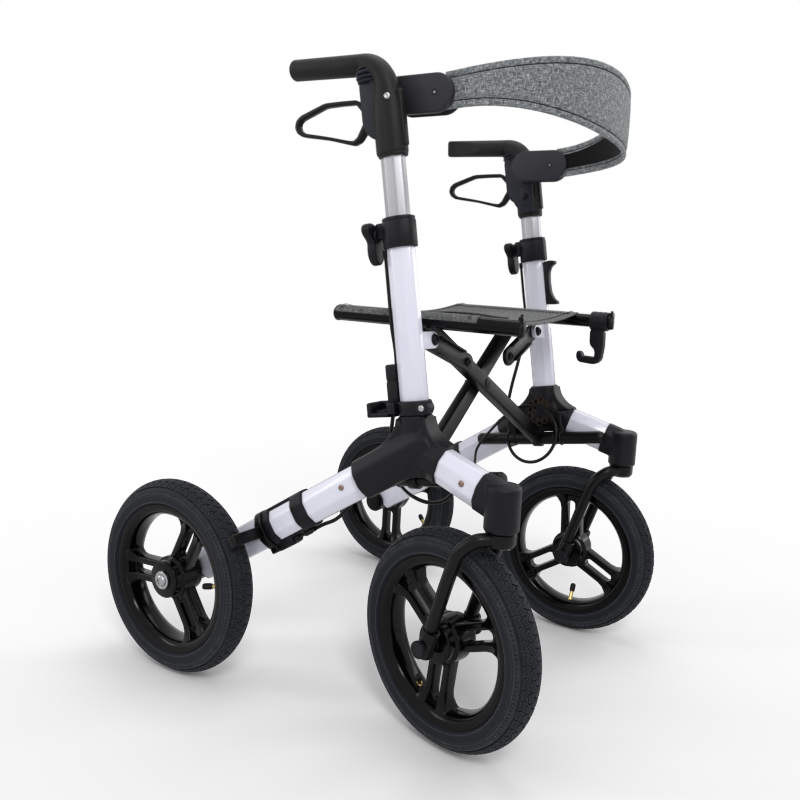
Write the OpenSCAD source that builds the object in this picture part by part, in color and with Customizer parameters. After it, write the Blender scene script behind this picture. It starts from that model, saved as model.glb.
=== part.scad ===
// All terrain rollator: two white side frames joined by a folding cross brace,
// a sling seat between them, four 12 inch air tyres and height-set handles.
// Frame: +X is the walker's left, -Y is forward, +Z is up, ground at Z = 0.

/* [Wheels] */
// Outside diameter of the air tyres
tyre_d = 304; // [280:1:330]
// Width of the tyre section
tyre_w = 50; // [44:1:56]
// Diameter of the rim over its flanges
rim_d = 234; // [214:1:244]
// Width of the rim over its flanges
rim_w = 40; // [34:1:44]
// Diameter of the wheel hub barrel
barrel_d = 46; // [36:1:56]
// Length of the wheel hub barrel
barrel_l = 54; // [48:1:60]
// Diameter of the wheel axles
axle_d = 12; // [10:1:16]
// Width of one bar of a double spoke
spoke_w = 11; // [8:1:14]
// Clear slot between the two bars of a double spoke
spoke_gap = 16; // [12:1:20]
// Depth of a spoke along the axle
spoke_t = 20; // [14:1:26]
// Turn of the right front wheel on its axle, in degrees
right_front_spin = 7; // [0:1:119]
// Turn of the left front wheel on its axle, in degrees
left_front_spin = 57; // [0:1:119]
// Turn of the right rear wheel on its axle, in degrees
right_rear_spin = 86; // [0:1:119]
// Turn of the left rear wheel on its axle, in degrees
left_rear_spin = 0; // [0:1:119]

/* [Stance] */
// Distance between front and rear axles with the casters trailing straight
wheelbase = 445; // [430:1:470]
// Distance between the middles of the rear tyres
rear_track = 606; // [596:1:640]
// Distance between the two caster stems
stem_track = 482; // [470:1:500]
// Distance of a front axle behind its stem
trail = 80; // [70:1:90]
// Angle that the right front wheel is turned inward
right_turn = 13; // [0:1:20]
// Angle that the left front wheel is turned inward
left_turn = 0; // [0:1:20]

/* [Side frames] */
// Distance between the middles of the two uprights
upright_track = 442; // [430:1:460]
// Backward lean of the uprights in degrees
lean = 9.5; // [6:0.5:12]
// Width of the white tubes, side to side
tube_w = 32; // [30:1:36]
// Depth of the white tubes, front to back
tube_d = 46; // [44:1:50]
// Wall of the white tubes
tube_wall = 2.5; // [2:0.1:3]
// Distance of the moulded hub ahead of the middle of the wheelbase
knot_ahead = 161; // [152:1:168]
// Height of the moulded hub where the tubes meet
knot_z = 403; // [395:1:410]
// Wall of the moulded hub around a tube
knot_wall = 4; // [3:0.5:5]
// Length of the hub's socket up the upright
knot_up = 48; // [40:1:56]
// Length of the hub's socket down the rear leg
knot_back = 102; // [94:1:110]
// Length of the hub's socket down the front leg
knot_front = 48; // [44:1:54]
// Depth that each tube enters its socket
socket_depth = 30; // [24:1:36]
// Height of the upright's top end, measured up the lean from the lower bar
upright_top = 340; // [320:1:350]
// Outward place of the rear leg at the axle
rear_leg_x = 256; // [252:1:260]

/* [Casters] */
// Diameter of the caster housing
house_d = 46; // [42:1:50]
// Height of the caster housing's lower face
house_z = 324; // [318:1:330]
// Height of the caster housing
house_h = 60; // [54:1:64]
// Diameter of the caster stem
stem_d = 16; // [14:1:18]
// Diameter of the fork's arms
arm_d = 18; // [15:1:20]
// Clear gap between tyre and fork arm
arm_gap = 7; // [5:1:10]

/* [Handles] */
// Width of the silver inner tubes
inner_w = 26; // [24:0.5:26.5]
// Depth of the silver inner tubes
inner_d = 38; // [36:0.5:40.5]
// Height of the clamp collar
collar_h = 42; // [36:1:46]
// Wall of the clamp collar around the white tube
collar_wall = 3; // [2.5:0.5:4]
// Bare silver tube below the right handle
right_raise = 84; // [40:1:110]
// Bare silver tube below the left handle
left_raise = 42; // [40:1:110]
// Diameter of the hand grip
grip_d = 30; // [28:1:33]
// Straight length of the hand grip
grip_l = 124; // [115:1:145]
// Radius of the handle's bend
bend_r = 42; // [38:1:50]
// Height of the handle sleeve up to the bend
sleeve_h = 88; // [80:1:96]
// Angle that the grip rises to the rear
grip_rise = 1.5; // [0:0.5:5]
// Diameter of the brake lever's pin
lever_pin_d = 6; // [5:0.5:8]
// Thickness of the brake lever, side to side
lever_t = 10; // [8:1:12]

/* [Brace and seat] */
// Distance of the lower bars ahead of the middle of the wheelbase
bar_ahead = 151; // [145:1:156]
// Height of the lower bars at the cross brace
bar_z = 355; // [350:1:362]
// Distance between the lower bars
bar_track = 390; // [384:1:394]
// Diameter of the lower bars
bar_d = 22; // [18:1:22]
// Length of the lower bars
bar_l = 242; // [220:1:250]
// Width of a cross bar
brace_w = 25; // [22:1:28]
// Depth of a cross bar
brace_t = 16; // [14:1:18]
// Gap between the two cross bars
brace_gap = 2; // [1:0.5:3]
// Diameter of the pin where the cross bars meet
pin_d = 10; // [8:1:12]
// Distance between the seat rails
rail_track = 360; // [352:1:366]
// Height of the seat rails above the ground
rail_z = 578; // [570:1:590]
// Diameter of the seat rails
rail_d = 22; // [20:1:24]
// Front end of the seat rails, ahead of the middle of the wheelbase
rail_front = 283; // [270:1:290]
// Rear end of the seat rails, behind the middle of the wheelbase
rail_rear = 18; // [10:1:30]
// Front edge of the seat cloth, ahead of the middle of the wheelbase
seat_front = 224; // [210:1:230]
// Thickness of the seat cloth
cloth_t = 3; // [2:0.5:4]
// Sag of the seat cloth at its middle
seat_sag = 14; // [6:1:24]

/* [Backrest] */
// Height of the backrest bracket plates
bracket_h = 52; // [42:1:54]
// Length of the backrest bracket plates
bracket_l = 90; // [80:1:96]
// Thickness of the backrest bracket plates
bracket_t = 12; // [10:1:14]
// Thickness of the cover that holds the strap's end on the inner side of a bracket
cover_t = 3.5; // [3:0.5:5]
// Forward reach of the backrest strap from its brackets
strap_reach = 172; // [150:1:200]
// Rise of the backrest strap's middle above its ends
strap_rise = 20; // [0:1:30]
// Height of the backrest strap at its ends
strap_end_h = 50; // [46:1:64]
// Height of the backrest strap at its middle
strap_mid_h = 92; // [76:1:100]
// Thickness of the padded strap
strap_t = 9; // [7:1:12]

/* [Fits] */
// Radial clearance of shafts and pins that turn
run_gap = 0.05; // [0.02:0.01:0.1]
// Clearance of parts that slide past each other
slide_gap = 0.3; // [0.2:0.05:0.6]

/* [Hidden] */
$fn = 48;
tyre_r = tyre_d / 2;
boss_r = 20;
front_y = -wheelbase / 2;
rear_y = wheelbase / 2;
stem_x = stem_track / 2;
stem_y = front_y - trail;
wheel_x = rear_track / 2;
bar_x = bar_track / 2;
rail_x = rail_track / 2;
rail_room = 5;
// The uprights stand clear of the seat rails on any track
up_x = max(upright_track / 2, rail_x + rail_d / 2 + tube_w / 2 + rail_room);
// The height tube slides in the bore of the upright
slide_w = min(inner_w, tube_w - 2 * tube_wall - 2 * slide_gap);
slide_d = min(inner_d, tube_d - 2 * tube_wall - 2 * slide_gap);
bar_y = -bar_ahead;
knot = [up_x, -knot_ahead, knot_z];
rear_end = [rear_leg_x, rear_y, tyre_r];
house_mid = [stem_x, stem_y, house_z + house_h / 2 + 5];

// A point in the leaning frame: w runs back along the lower bar, v runs up the upright
function lean_point(x, w, v) = [x, bar_y + w * cos(lean) + v * sin(lean),
                                bar_z - w * sin(lean) + v * cos(lean)];
// The two coordinates of a world point in the leaning frame
function lean_w(p) = (p.y - bar_y) * cos(lean) - (p.z - bar_z) * sin(lean);
function lean_v(p) = (p.y - bar_y) * sin(lean) + (p.z - bar_z) * cos(lean);

knot_v = lean_v(knot);
up_w = lean_w(knot);
collar_top = upright_top + collar_h / 2 + 3;
layer = (brace_t + brace_gap) / 2;
rail_v = (rail_z - bar_z) / cos(lean);
brace_angle = atan(rail_v / (bar_x + rail_x));
cross_v = bar_x * tan(brace_angle);
tab_v = 194;
tab_x = rail_x - 2;
tab_t = 7;
link_t = 6;
link_l = 112;
link_w = -layer - brace_t / 2 - brace_gap - link_t / 2;
tab_w = link_w - link_t / 2 - slide_gap - tab_t / 2;
link_drop = brace_angle - 11;
house_r = house_d / 2;
leg_pitch = atan((knot_z - tyre_r) / (rear_y + knot_ahead));
shoe_gap = 4;

white = [0.93, 0.92, 0.96];
black = [0.09, 0.09, 0.1];
gloss = [0.03, 0.03, 0.035];
rubber = [0.12, 0.12, 0.14];
silver = [0.78, 0.78, 0.8];
copper = [0.62, 0.42, 0.32];
cloth = [0.5, 0.5, 0.52];

// Placing

// Mirrors a left-hand piece to the right
module on(side) {
    if (side == "right") mirror([1, 0, 0]) children();
    else children();
}

// Puts a piece in the leaning frame of the uprights and the cross brace
module leaning() {
    translate([0, bar_y, bar_z]) rotate([-lean, 0, 0]) children();
}

// Turns a piece so that its Z axis runs from p to q and its X axis stays level
module along(p, q) {
    d = q - p;
    translate(p) rotate([0, 0, atan2(d.x, -d.y)]) rotate([acos(d.z / norm(d)), 0, 0]) children();
}

// Lays a piece along the rear leg, with X outward and Y upward
module on_rear_leg(at) {
    along(knot, rear_end) mirror([1, 0, 0]) translate([0, 0, at]) children();
}

// Lays a piece's Z axis along X, pointing outward on the left
module axis_x() {
    rotate([0, 90, 0]) children();
}

// Lays a piece's Z axis along the leaning frame's own depth
module axis_w() {
    rotate([90, 0, 0]) children();
}

// Shapes

// An oblong of width w in X and depth d in Y, with round ends
module oblong(w, d) {
    for (s = [-1, 1]) translate([0, s * (d - w) / 2]) circle(d = w);
    square([w, d - w], center = true);
}

// A plate with round ends at two points, drawn in its own plane
module strip(a, b, r) {
    hull() {
        translate(a) circle(r = r, $fn = 32);
        translate(b) circle(r = r, $fn = 32);
    }
}

// A plain oblong tube of length l standing on the origin
module tube(w, d, wall, l) {
    linear_extrude(l) difference() {
        oblong(w, d);
        oblong(w - 2 * wall, d - 2 * wall);
    }
}

// Round bars joined end to end with ball corners
module bent_bar(points, d) {
    for (i = [1 : len(points) - 1]) along(points[i - 1], points[i])
        cylinder(d = d, h = norm(points[i] - points[i - 1]));
    for (p = points) translate(p) sphere(d = d + 0.6);
}

// The closed skin over a run of rings with equal counts
module skin(rings) {
    n = len(rings[0]);
    m = len(rings);
    sides = [for (i = [0 : m - 2], j = [0 : n - 1], h = [0, 1]) let (k = (j + 1) % n)
        h == 0 ? [i * n + j, i * n + k, (i + 1) * n + k] : [i * n + j, (i + 1) * n + k, (i + 1) * n + j]];
    low = [for (j = [1 : n - 2]) [0, j + 1, j]];
    high = [for (j = [1 : n - 2]) [(m - 1) * n, (m - 1) * n + j, (m - 1) * n + j + 1]];
    polyhedron([for (r = rings) each r], concat(sides, low, high));
}

function unit(v) = v / norm(v);
// Rings of a round cord along its points, kept level by the world's up or side
function cord_rings(p, r, n = 8) = [for (i = [0 : len(p) - 1])
    let (t = unit(p[min(i + 1, len(p) - 1)] - p[max(i - 1, 0)]),
         a = unit(cross(t, [1, 0.02, 0.01])), b = cross(t, a))
    [for (k = [0 : n - 1]) p[i] + r * cos(360 * k / n) * a + r * sin(360 * k / n) * b]];
// A smooth run through the points
function smooth(p, n = 6) = [for (i = [0 : len(p) - 2], k = [0 : n - (i < len(p) - 2 ? 1 : 0)])
    let (t = k / n, a = p[max(i - 1, 0)], b = p[i], c = p[i + 1], d = p[min(i + 2, len(p) - 1)])
    0.5 * (2 * b + (c - a) * t + (2 * a - 5 * b + 4 * c - d) * t * t + (3 * b - a - 3 * c + d) * t * t * t)];

// Side frame

module upright_piece() {
    low = knot_v + knot_up - socket_depth;
    color(white) leaning() translate([up_x, up_w, 0]) {
        translate([0, 0, low]) tube(tube_w, tube_d, tube_wall, upright_top - low);
        difference() {
            translate([0, tab_w - up_w + tab_t / 2, tab_v]) axis_w() linear_extrude(tab_t) {
                difference() {
                    union() {
                        translate([tab_x - up_x, 0]) circle(r = 12);
                        translate([tab_x - up_x, -12]) square([up_x - tab_x, 24]);
                    }
                    translate([tab_x - up_x, 0]) circle(r = 4 + run_gap);
                }
            }
            translate([0, 0, tab_v - 20]) linear_extrude(40) oblong(tube_w - 0.2, tube_d - 0.2);
        }
    }
}

// Section slices of the moulded hub's three sockets
module knot_slice(q, at, extra) {
    along(knot, q) translate([0, 0, at]) linear_extrude(1)
        offset(r = extra) oblong(tube_w, tube_d, $fn = 32);
}

module knot_piece() {
    up = lean_point(up_x, up_w, knot_v + 200);
    w = knot_wall;
    color(black) difference() {
        union() {
            hull() {
                knot_slice(up, knot_up - 1, w);
                knot_slice(up, -6, w + 1);
            }
            hull() {
                knot_slice(rear_end, knot_back - 1, w);
                knot_slice(rear_end, -4, w + 2);
            }
            hull() {
                knot_slice(house_mid, knot_front - 1, w);
                knot_slice(house_mid, -4, w + 2);
            }
            hull() {
                knot_slice(up, 12, w);
                knot_slice(rear_end, 50, w);
            }
            hull() {
                knot_slice(up, 18, w);
                knot_slice(house_mid, 30, w);
            }
        }
        along(knot, up) translate([0, 0, knot_up - socket_depth])
            linear_extrude(socket_depth + 200) oblong(tube_w, tube_d);
        along(knot, rear_end) translate([0, 0, knot_back - socket_depth])
            linear_extrude(socket_depth + 200) oblong(tube_w, tube_d);
        along(knot, house_mid) translate([0, 0, knot_front - socket_depth])
            linear_extrude(socket_depth + 200) oblong(tube_w, tube_d);
    }
}

module front_leg_piece() {
    reach = norm(house_mid - knot);
    color(white) difference() {
        along(knot, house_mid) translate([0, 0, knot_front - socket_depth])
            tube(tube_w, tube_d, tube_wall, reach - house_r - knot_front + socket_depth);
        front_screw() screw_hole();
    }
}

module rear_leg_piece() {
    reach = norm(rear_end - knot);
    color(white) difference() {
        along(knot, rear_end) translate([0, 0, knot_back - socket_depth])
            tube(tube_w, tube_d, tube_wall, reach - knot_back + socket_depth - 6);
        translate([rear_leg_x - 60, rear_y, tyre_r]) axis_x() cylinder(r = boss_r, h = 120);
        rear_screw() screw_hole();
    }
}

// Places of the screws on the outer sides of the legs
module front_screw() {
    along(knot, house_mid) translate([0, 1, knot_front + 34]) children();
}

module rear_screw() {
    on_rear_leg(knot_back + 29) translate([0, 3, 0]) children();
}

module screw_hole() {
    translate([tube_w / 2 - 2 * tube_wall, 0, 0]) axis_x() cylinder(d = 4, h = 3 * tube_wall);
}

module screws_piece() {
    color(copper) {
        front_screw() side_screw();
        rear_screw() side_screw();
    }
}

// A button screw on the outer side of a tube that lies along Z
module side_screw() {
    translate([tube_w / 2 - tube_wall, 0, 0]) axis_x() {
        cylinder(d = 4, h = tube_wall);
        translate([0, 0, tube_wall]) cylinder(d1 = 8, d2 = 5, h = 2);
    }
}

// Casters

module house_piece() {
    cap = 9;
    color(black) difference() {
        union() {
            translate([stem_x, stem_y, house_z]) cylinder(d = house_d, h = house_h - cap);
            translate([stem_x, stem_y, house_z + house_h - cap])
                cylinder(d1 = house_d, d2 = house_d - 2 * cap, h = cap);
            difference() {
                along(house_mid, knot) translate([0, 0, house_r - 12])
                    linear_extrude(38) oblong(tube_w + 4, tube_d + 4);
                along(house_mid, knot) translate([0, 0, house_r])
                    linear_extrude(60) oblong(tube_w, tube_d);
            }
        }
        translate([stem_x, stem_y, house_z - 1])
            cylinder(d = stem_d + 2 * run_gap, h = house_h - 10);
        along(house_mid, knot) translate([0, 0, house_r])
            linear_extrude(60) oblong(tube_w, tube_d);
    }
}

// Stands a caster piece on its stem and turns it with the wheel
module at_stem(side) {
    turn = side == "right" ? right_turn : left_turn;
    translate([stem_x, stem_y, 0]) rotate([0, 0, turn]) children();
}

arm_x = tyre_w / 2 + arm_gap + arm_d / 2;
crown_z = house_z - slide_gap - arm_d / 2;

module fork_piece(side) {
    top = house_z + house_h - 14;
    color(black) at_stem(side) {
        translate([0, 0, crown_z]) cylinder(d = stem_d, h = top - crown_z);
        translate([0, 0, crown_z - arm_d / 2]) cylinder(d = house_d - 6, h = arm_d);
        for (s = [-1, 1]) difference() {
            union() {
                bent_bar([[s * 10, 0, crown_z], [s * arm_x * 0.8, 16, crown_z - 3],
                    [s * arm_x, trail * 0.46, crown_z - 26],
                    [s * arm_x, trail * 0.6, crown_z - 60],
                    [s * arm_x, trail * 0.93, tyre_r + 24]], arm_d);
                translate([s * arm_x, trail, tyre_r]) rotate([18, 0, 0])
                    translate([0, 0, -10]) cylinder(d = arm_d + 6, h = 34);
            }
            translate([s * arm_x - 20, trail, tyre_r]) axis_x() cylinder(d = axle_d, h = 40);
        }
    }
}

module front_axle_piece(side) {
    half = arm_x + arm_d / 2 + 3;
    color(gloss) at_stem(side) translate([0, trail, tyre_r]) {
        translate([-half, 0, 0]) axis_x() cylinder(d = axle_d, h = 2 * half);
        for (s = [0, 1]) mirror([s, 0, 0]) {
            translate([half, 0, 0]) axis_x() cylinder(d = 22, h = 7);
            translate([barrel_l / 2 + slide_gap, 0, 0]) axis_x() difference() {
                cylinder(d = 20, h = arm_x - arm_d / 2 - 3 - barrel_l / 2 - 2 * slide_gap);
                translate([0, 0, -1]) cylinder(d = axle_d, h = 40);
            }
        }
    }
}

// Wheels, each with its axle along X through the origin

module rim_shape(spin) {
    flange = rim_d / 2;
    bed = flange - 9;
    half = rim_w / 2;
    difference() {
        union() {
            rotate_extrude($fn = 96) polygon([[bed - 10, -half + 5], [bed - 4, -half], [flange, -half],
                [flange, -half + 4], [bed, -half + 9], [bed, half - 9], [flange, half - 4],
                [flange, half], [bed - 4, half], [bed - 10, half - 5]]);
            translate([0, 0, -barrel_l / 2]) cylinder(d = barrel_d, h = barrel_l);
            translate([0, 0, -spoke_t / 2 - 2]) cylinder(d = barrel_d + 18, h = spoke_t + 4);
            for (k = [0 : 2]) rotate([0, 0, 120 * k + spin]) translate([0, 0, -spoke_t / 2])
                linear_extrude(spoke_t) difference() {
                    polygon([[barrel_d / 2 - 6, -spoke_gap / 2 - spoke_w], [bed - 26, -spoke_gap / 2 - spoke_w],
                        [bed - 5, -spoke_gap / 2 - spoke_w - 9], [bed - 5, spoke_gap / 2 + spoke_w + 9],
                        [bed - 26, spoke_gap / 2 + spoke_w], [barrel_d / 2 - 6, spoke_gap / 2 + spoke_w]]);
                    translate([barrel_d / 2 + 6, -spoke_gap / 2]) square([bed - 30 - barrel_d / 2, spoke_gap]);
                }
        }
        translate([0, 0, -barrel_l]) cylinder(d = axle_d + 2 * run_gap, h = 2 * barrel_l);
    }
}

module tyre_shape() {
    flange = rim_d / 2;
    half = (tyre_r - flange + 15) / 2;
    air = min(rim_w / 2 - 3, half - 8);
    difference() {
        rotate_extrude($fn = 96) intersection() {
            translate([tyre_r - half, 0]) difference() {
                scale([2 * half / tyre_w, 1]) circle(d = tyre_w);
                circle(r = air);
            }
            translate([flange - 9, -tyre_w]) square([tyre_w + 9, 2 * tyre_w]);
        }
        rotate_extrude($fn = 96) polygon([[0, -rim_w / 2], [flange, -rim_w / 2], [flange, -rim_w / 2 + 4],
            [flange - 9, -rim_w / 2 + 9], [flange - 9, rim_w / 2 - 9], [flange, rim_w / 2 - 4],
            [flange, rim_w / 2], [0, rim_w / 2]]);
    }
}

module front_wheel(side) {
    at_stem(side) translate([0, trail, tyre_r]) axis_x() children();
}

module rear_wheel() {
    translate([wheel_x, rear_y, tyre_r]) axis_x() children();
}

module rear_axle_piece() {
    inner = rear_leg_x - tube_w / 2 - 8;
    near = wheel_x - barrel_l / 2 - slide_gap;
    far = wheel_x + barrel_l / 2 + slide_gap;
    color(gloss) translate([0, rear_y, tyre_r]) {
        translate([inner, 0, 0]) axis_x() cylinder(d = axle_d, h = far + 2 - inner);
        translate([inner - 6, 0, 0]) axis_x() cylinder(r = 16, h = 6);
        translate([inner, 0, 0]) axis_x() difference() {
            cylinder(r = boss_r, h = near - inner);
            translate([0, 0, -1]) cylinder(d = axle_d, h = 100);
        }
        translate([far, 0, 0]) axis_x() cylinder(d = 26, h = 3);
        translate([far + 3, 0, 0]) axis_x() cylinder(d1 = 19, d2 = 12, h = 6);
    }
}

// Brakes

shoe_s = norm(rear_end - knot) - tyre_r;
shoe_w = 14;
shoe_home = shoe_s - shoe_gap - shoe_w;
housing_start = knot_back + 103;
plunger_d = 8;
plunger_l = 24;
plunger_drop = tube_d / 2 + 4 + plunger_d / 2;

module brake_housing_piece() {
    wall = 4;
    last = shoe_home - slide_gap - housing_start - 2;
    color(black) on_rear_leg(housing_start) difference() {
        union() {
            linear_extrude(last) oblong(tube_w + 2 * wall, tube_d + 2 * wall);
            translate([-10, -plunger_drop - 7, last - 30]) cube([20, 14, 30]);
        }
        translate([0, 0, -1]) linear_extrude(last + 2) oblong(tube_w, tube_d);
        translate([tube_w / 2 - 4, -18, 27]) cube([20, 36, 38]);
        translate([0, -plunger_drop, -1]) cylinder(d = plunger_d + 2 * run_gap, h = last + 2);
    }
}

module brake_shoe_piece() {
    wall = 5;
    inward = wheel_x - rear_leg_x - tube_w / 2 + 10;
    color(black) {
        on_rear_leg(shoe_home) {
            difference() {
                translate([-tube_w / 2 - wall, -plunger_drop - 7, 0])
                    cube([tube_w + 2 * wall, plunger_drop + 7 + tube_d / 2 + wall, shoe_w]);
                translate([0, 0, -1]) linear_extrude(shoe_w + 2)
                    oblong(tube_w + 2 * slide_gap, tube_d + 2 * slide_gap);
            }
            translate([0, -plunger_drop, -plunger_l]) cylinder(d = plunger_d, h = plunger_l + 1);
        }
        translate([wheel_x, rear_y, tyre_r]) rotate([90 - leg_pitch, 0, 0])
            translate([-inward, -9, tyre_r + shoe_gap]) cube([inward + tyre_w / 2 - 5, 18, shoe_w]);
    }
}

// A point beside the rear leg: outward from it, above it and along it
function by_leg(x, y, z) = let (d = unit(rear_end - knot), out = unit([d.y, -d.x, 0]))
    knot + d * z + out * x + cross(out, d) * y;

// The cable runs down behind the upright, makes one loop round the lower bar and follows the rear leg
module cable_piece() {
    r = 2.5;
    behind = up_w + tube_d / 2 + r + 0.9;
    ring = [for (k = [0 : 24]) let (t = 90 - k * 15)
        lean_point(bar_x - 15 + 17 * sin(t) - 0.24 * k, 50 * cos(t), 10 + 50 * sin(t))];
    lead = [lean_point(up_x, behind, upright_top + 3 - collar_h / 2 - slide_gap), lean_point(up_x, behind, 260),
        lean_point(up_x, behind, 215), lean_point(up_x - 15, behind + 4, 178),
        lean_point(up_x - 21, behind + 8, 140), lean_point(up_x - 25, behind + 6, 108),
        lean_point(up_x - 25, behind, 76)];
    tail = [lean_point(bar_x - 4.5, 20, 63), lean_point(bar_x - 12, 36, 57), lean_point(bar_x - 17, 56, 36),
        lean_point(bar_x - 22, 84, 10), lean_point(bar_x - 18, 112, -22), by_leg(-22, -plunger_drop, 182),
        by_leg(-9, -plunger_drop, 208),
        by_leg(0, -plunger_drop, 234), by_leg(0, -plunger_drop, shoe_home - plunger_l - 2 * slide_gap)];
    path = concat(smooth(lead), ring, smooth(tail));
    echo(least_gap_of_the_cable_to_itself = min([for (i = [0 : len(path) - 13], j = [i + 12 : len(path) - 1])
        norm(path[i] - path[j]) - 2 * r]));
    color(gloss) skin(cord_rings(path, r));
}

// Handles

module collar_piece() {
    h = collar_h;
    w = tube_w + 2 * collar_wall;
    d = tube_d + 2 * collar_wall;
    color(black) leaning() translate([up_x, up_w, upright_top + 3 - h / 2]) difference() {
        union() {
            linear_extrude(h) oblong(w, d);
            translate([-8, d / 2 - 4, 6]) cube([16, 12, h - 12]);
        }
        translate([0, 0, -1]) linear_extrude(h / 2 - 2) oblong(tube_w, tube_d);
        translate([0, 0, -1]) linear_extrude(h + 2) oblong(slide_w + 2 * slide_gap, slide_d + 2 * slide_gap);
        translate([0, d / 2 + 10, h / 2]) axis_w() cylinder(d = 8 + 2 * run_gap, h = 12 + collar_wall);
    }
}

module knob_piece() {
    at = tube_d / 2 + collar_wall + 8 + slide_gap;
    color(black) leaning() translate([up_x, up_w + at, upright_top + 3]) rotate([-90, 0, 0]) {
        cylinder(d = 20, h = 14);
        translate([0, 0, 14]) cylinder(d1 = 16, d2 = 10, h = 4);
        translate([0, 0, -11]) cylinder(d = 8, h = 12);
        for (a = [90, 210, 330]) rotate([0, 0, a]) translate([0, 0, 1])
            linear_extrude(11) strip([6, 0], [a == 90 ? 34 : 18, 0], 7.5);
    }
}

module inner_tube_piece(side) {
    raise = side == "right" ? right_raise : left_raise;
    low = upright_top - 150;
    color(silver) leaning() translate([up_x, up_w, low])
        tube(slide_w, slide_d, 2, collar_top + raise + sleeve_h - 8 - low);
}

// Handle pieces stand on the sleeve's lower end, with the lean taken out
module at_handle(side) {
    raise = side == "right" ? right_raise : left_raise;
    leaning() translate([up_x, up_w, collar_top + raise]) children();
}

bend_turn = 90 - lean - grip_rise;
// Where the straight grip starts, seen from the sleeve's lower end
bend_end = [0, bend_r * (1 - cos(bend_turn)), sleeve_h + bend_r * sin(bend_turn)];
lever_pin = [0, 41, 52];

module grip_place() {
    translate(bend_end) rotate([-bend_turn, 0, 0]) children();
}

// Takes the lean out of a handle piece, so that Y is level again
module level() {
    rotate([lean, 0, 0]) children();
}

// Draws a side view, with Y across and Z up, and gives it a thickness in X
module side_view(t) {
    translate([-t / 2, 0, 0]) rotate([90, 0, 90]) linear_extrude(t) children();
}

module handle_piece(side) {
    color(black) at_handle(side) difference() {
        union() {
            linear_extrude(sleeve_h) oblong(grip_d + 4, slide_d + 8);
            translate([0, bend_r, sleeve_h]) rotate([90, 0, -90])
                rotate_extrude(angle = bend_turn) translate([bend_r, 0]) circle(d = grip_d + 2);
            translate([0, 0, sleeve_h - 1]) linear_extrude(12) oblong(grip_d + 2, slide_d + 4);
            level() side_view(lever_t + 12)
                polygon([[0, 18], [36, 20], [52, 50], [60, 96], [52, 108], [20, 104], [5, 60]]);
        }
        translate([0, 0, -1]) linear_extrude(sleeve_h - 7) oblong(slide_w, slide_d);
        translate([-lever_t / 2 - slide_gap, slide_d / 2 + 2.5, 8])
            cube([lever_t + 2 * slide_gap, 80, 84]);
    }
    lever_pin_piece(side);
}

module grip_piece(side) {
    color(rubber) at_handle(side) grip_place() {
        cylinder(d = grip_d, h = grip_l - 6);
        translate([0, 0, grip_l - 6]) cylinder(d1 = grip_d, d2 = grip_d - 9, h = 6);
    }
}

module lever_piece(side) {
    color(black) at_handle(side) level() difference() {
        union() {
            side_view(lever_t) difference() {
                polygon([[38, 59], [61, 77], [117, 77], [168, 57], [174, 50], [168, 38], [158, 30],
                    [65, 13], [52, 17], [36, 46]]);
                polygon([[52, 60], [63, 69], [116, 69], [161, 52], [165, 47], [154, 38], [66, 21],
                    [56, 25], [47, 42]]);
            }
            translate([-lever_t / 2, lever_pin.y, lever_pin.z]) axis_x() cylinder(r = 8.5, h = lever_t);
        }
        translate([-20, lever_pin.y, lever_pin.z]) axis_x() cylinder(d = lever_pin_d + 2 * run_gap, h = 40);
    }
}

module lever_pin_piece(side) {
    color(silver) at_handle(side) level() translate([-lever_t / 2 - 6, lever_pin.y, lever_pin.z])
        axis_x() cylinder(d = lever_pin_d, h = lever_t + 12);
}

bracket_x = -(grip_d + 4) / 2 - bracket_t;
bracket_z = sleeve_h - 4;
strap_back = bracket_l - 18;
cover_room = 1.6;
cover_x = strap_t + 2 * slide_gap + cover_room;

module bracket_piece(side) {
    r = bracket_h / 2;
    color(black) at_handle(side) translate([bracket_x, 0, bracket_z]) level() rotate([90, 0, 90]) {
        linear_extrude(bracket_t) {
            translate([-bracket_l + r, 0]) circle(r = r);
            translate([-bracket_l + r, -r]) square([bracket_l - r, 2 * r]);
        }
        translate([-bracket_l + r, 0, bracket_t - 1]) cylinder(d = 9, h = 3);
        translate([0, 0, -cover_x - cover_t]) linear_extrude(cover_t)
            strip([-bracket_l - 4 + r, 0], [9 - r, 0], r);
        translate([-bracket_l + r, 0, -cover_x - cover_t - 1]) cylinder(d = 9, h = 2);
        translate([-strap_back + 1, -r + 4, -cover_x - 1])
            cube([strap_back - 1, bracket_h - 8, cover_x + 2]);
    }
}

// Cross brace: a bar drawn in the leaning frame from its lower end at the given side

module brace_bar(side, front) {
    s = side == "right" ? -1 : 1;
    w = front ? -layer : layer;
    high = [-s * rail_x, rail_v];
    low = [s * bar_x, 0];
    color(black) difference() {
        leaning() translate([0, w + brace_t / 2, 0]) axis_w() difference() {
            linear_extrude(brace_t) {
                difference() {
                    union() {
                        translate(low) circle(d = bar_d + 7);
                        translate(low) rotate(atan2(high.y - low.y, high.x - low.x)) translate([0, -brace_w / 2])
                            square([norm(high - low), brace_w]);
                    }
                    translate(low) circle(d = bar_d + 2 * run_gap);
                }
            }
            translate([0, cross_v, -1]) cylinder(d = pin_d + (front ? 2 * run_gap : 0), h = brace_t + 2);
        }
        translate([-s * rail_x, 100, rail_z]) rotate([90, 0, 0]) cylinder(d = rail_d, h = 400);
        translate([-rail_track, -rail_track, rail_z + 2]) cube([2 * rail_track, 2 * rail_track, 100]);
    }
}

module pin_piece() {
    half = layer + brace_t / 2;
    color(silver) leaning() translate([0, half, cross_v]) axis_w() {
        cylinder(d = pin_d, h = 2 * half);
        translate([0, 0, -5]) cylinder(d = pin_d + 7, h = 5);
        translate([0, 0, 2 * half + slide_gap]) cylinder(d = pin_d + 7, h = 1.5);
        translate([0, 0, 2 * half - 1]) cylinder(d = pin_d, h = 2);
    }
}

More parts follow.
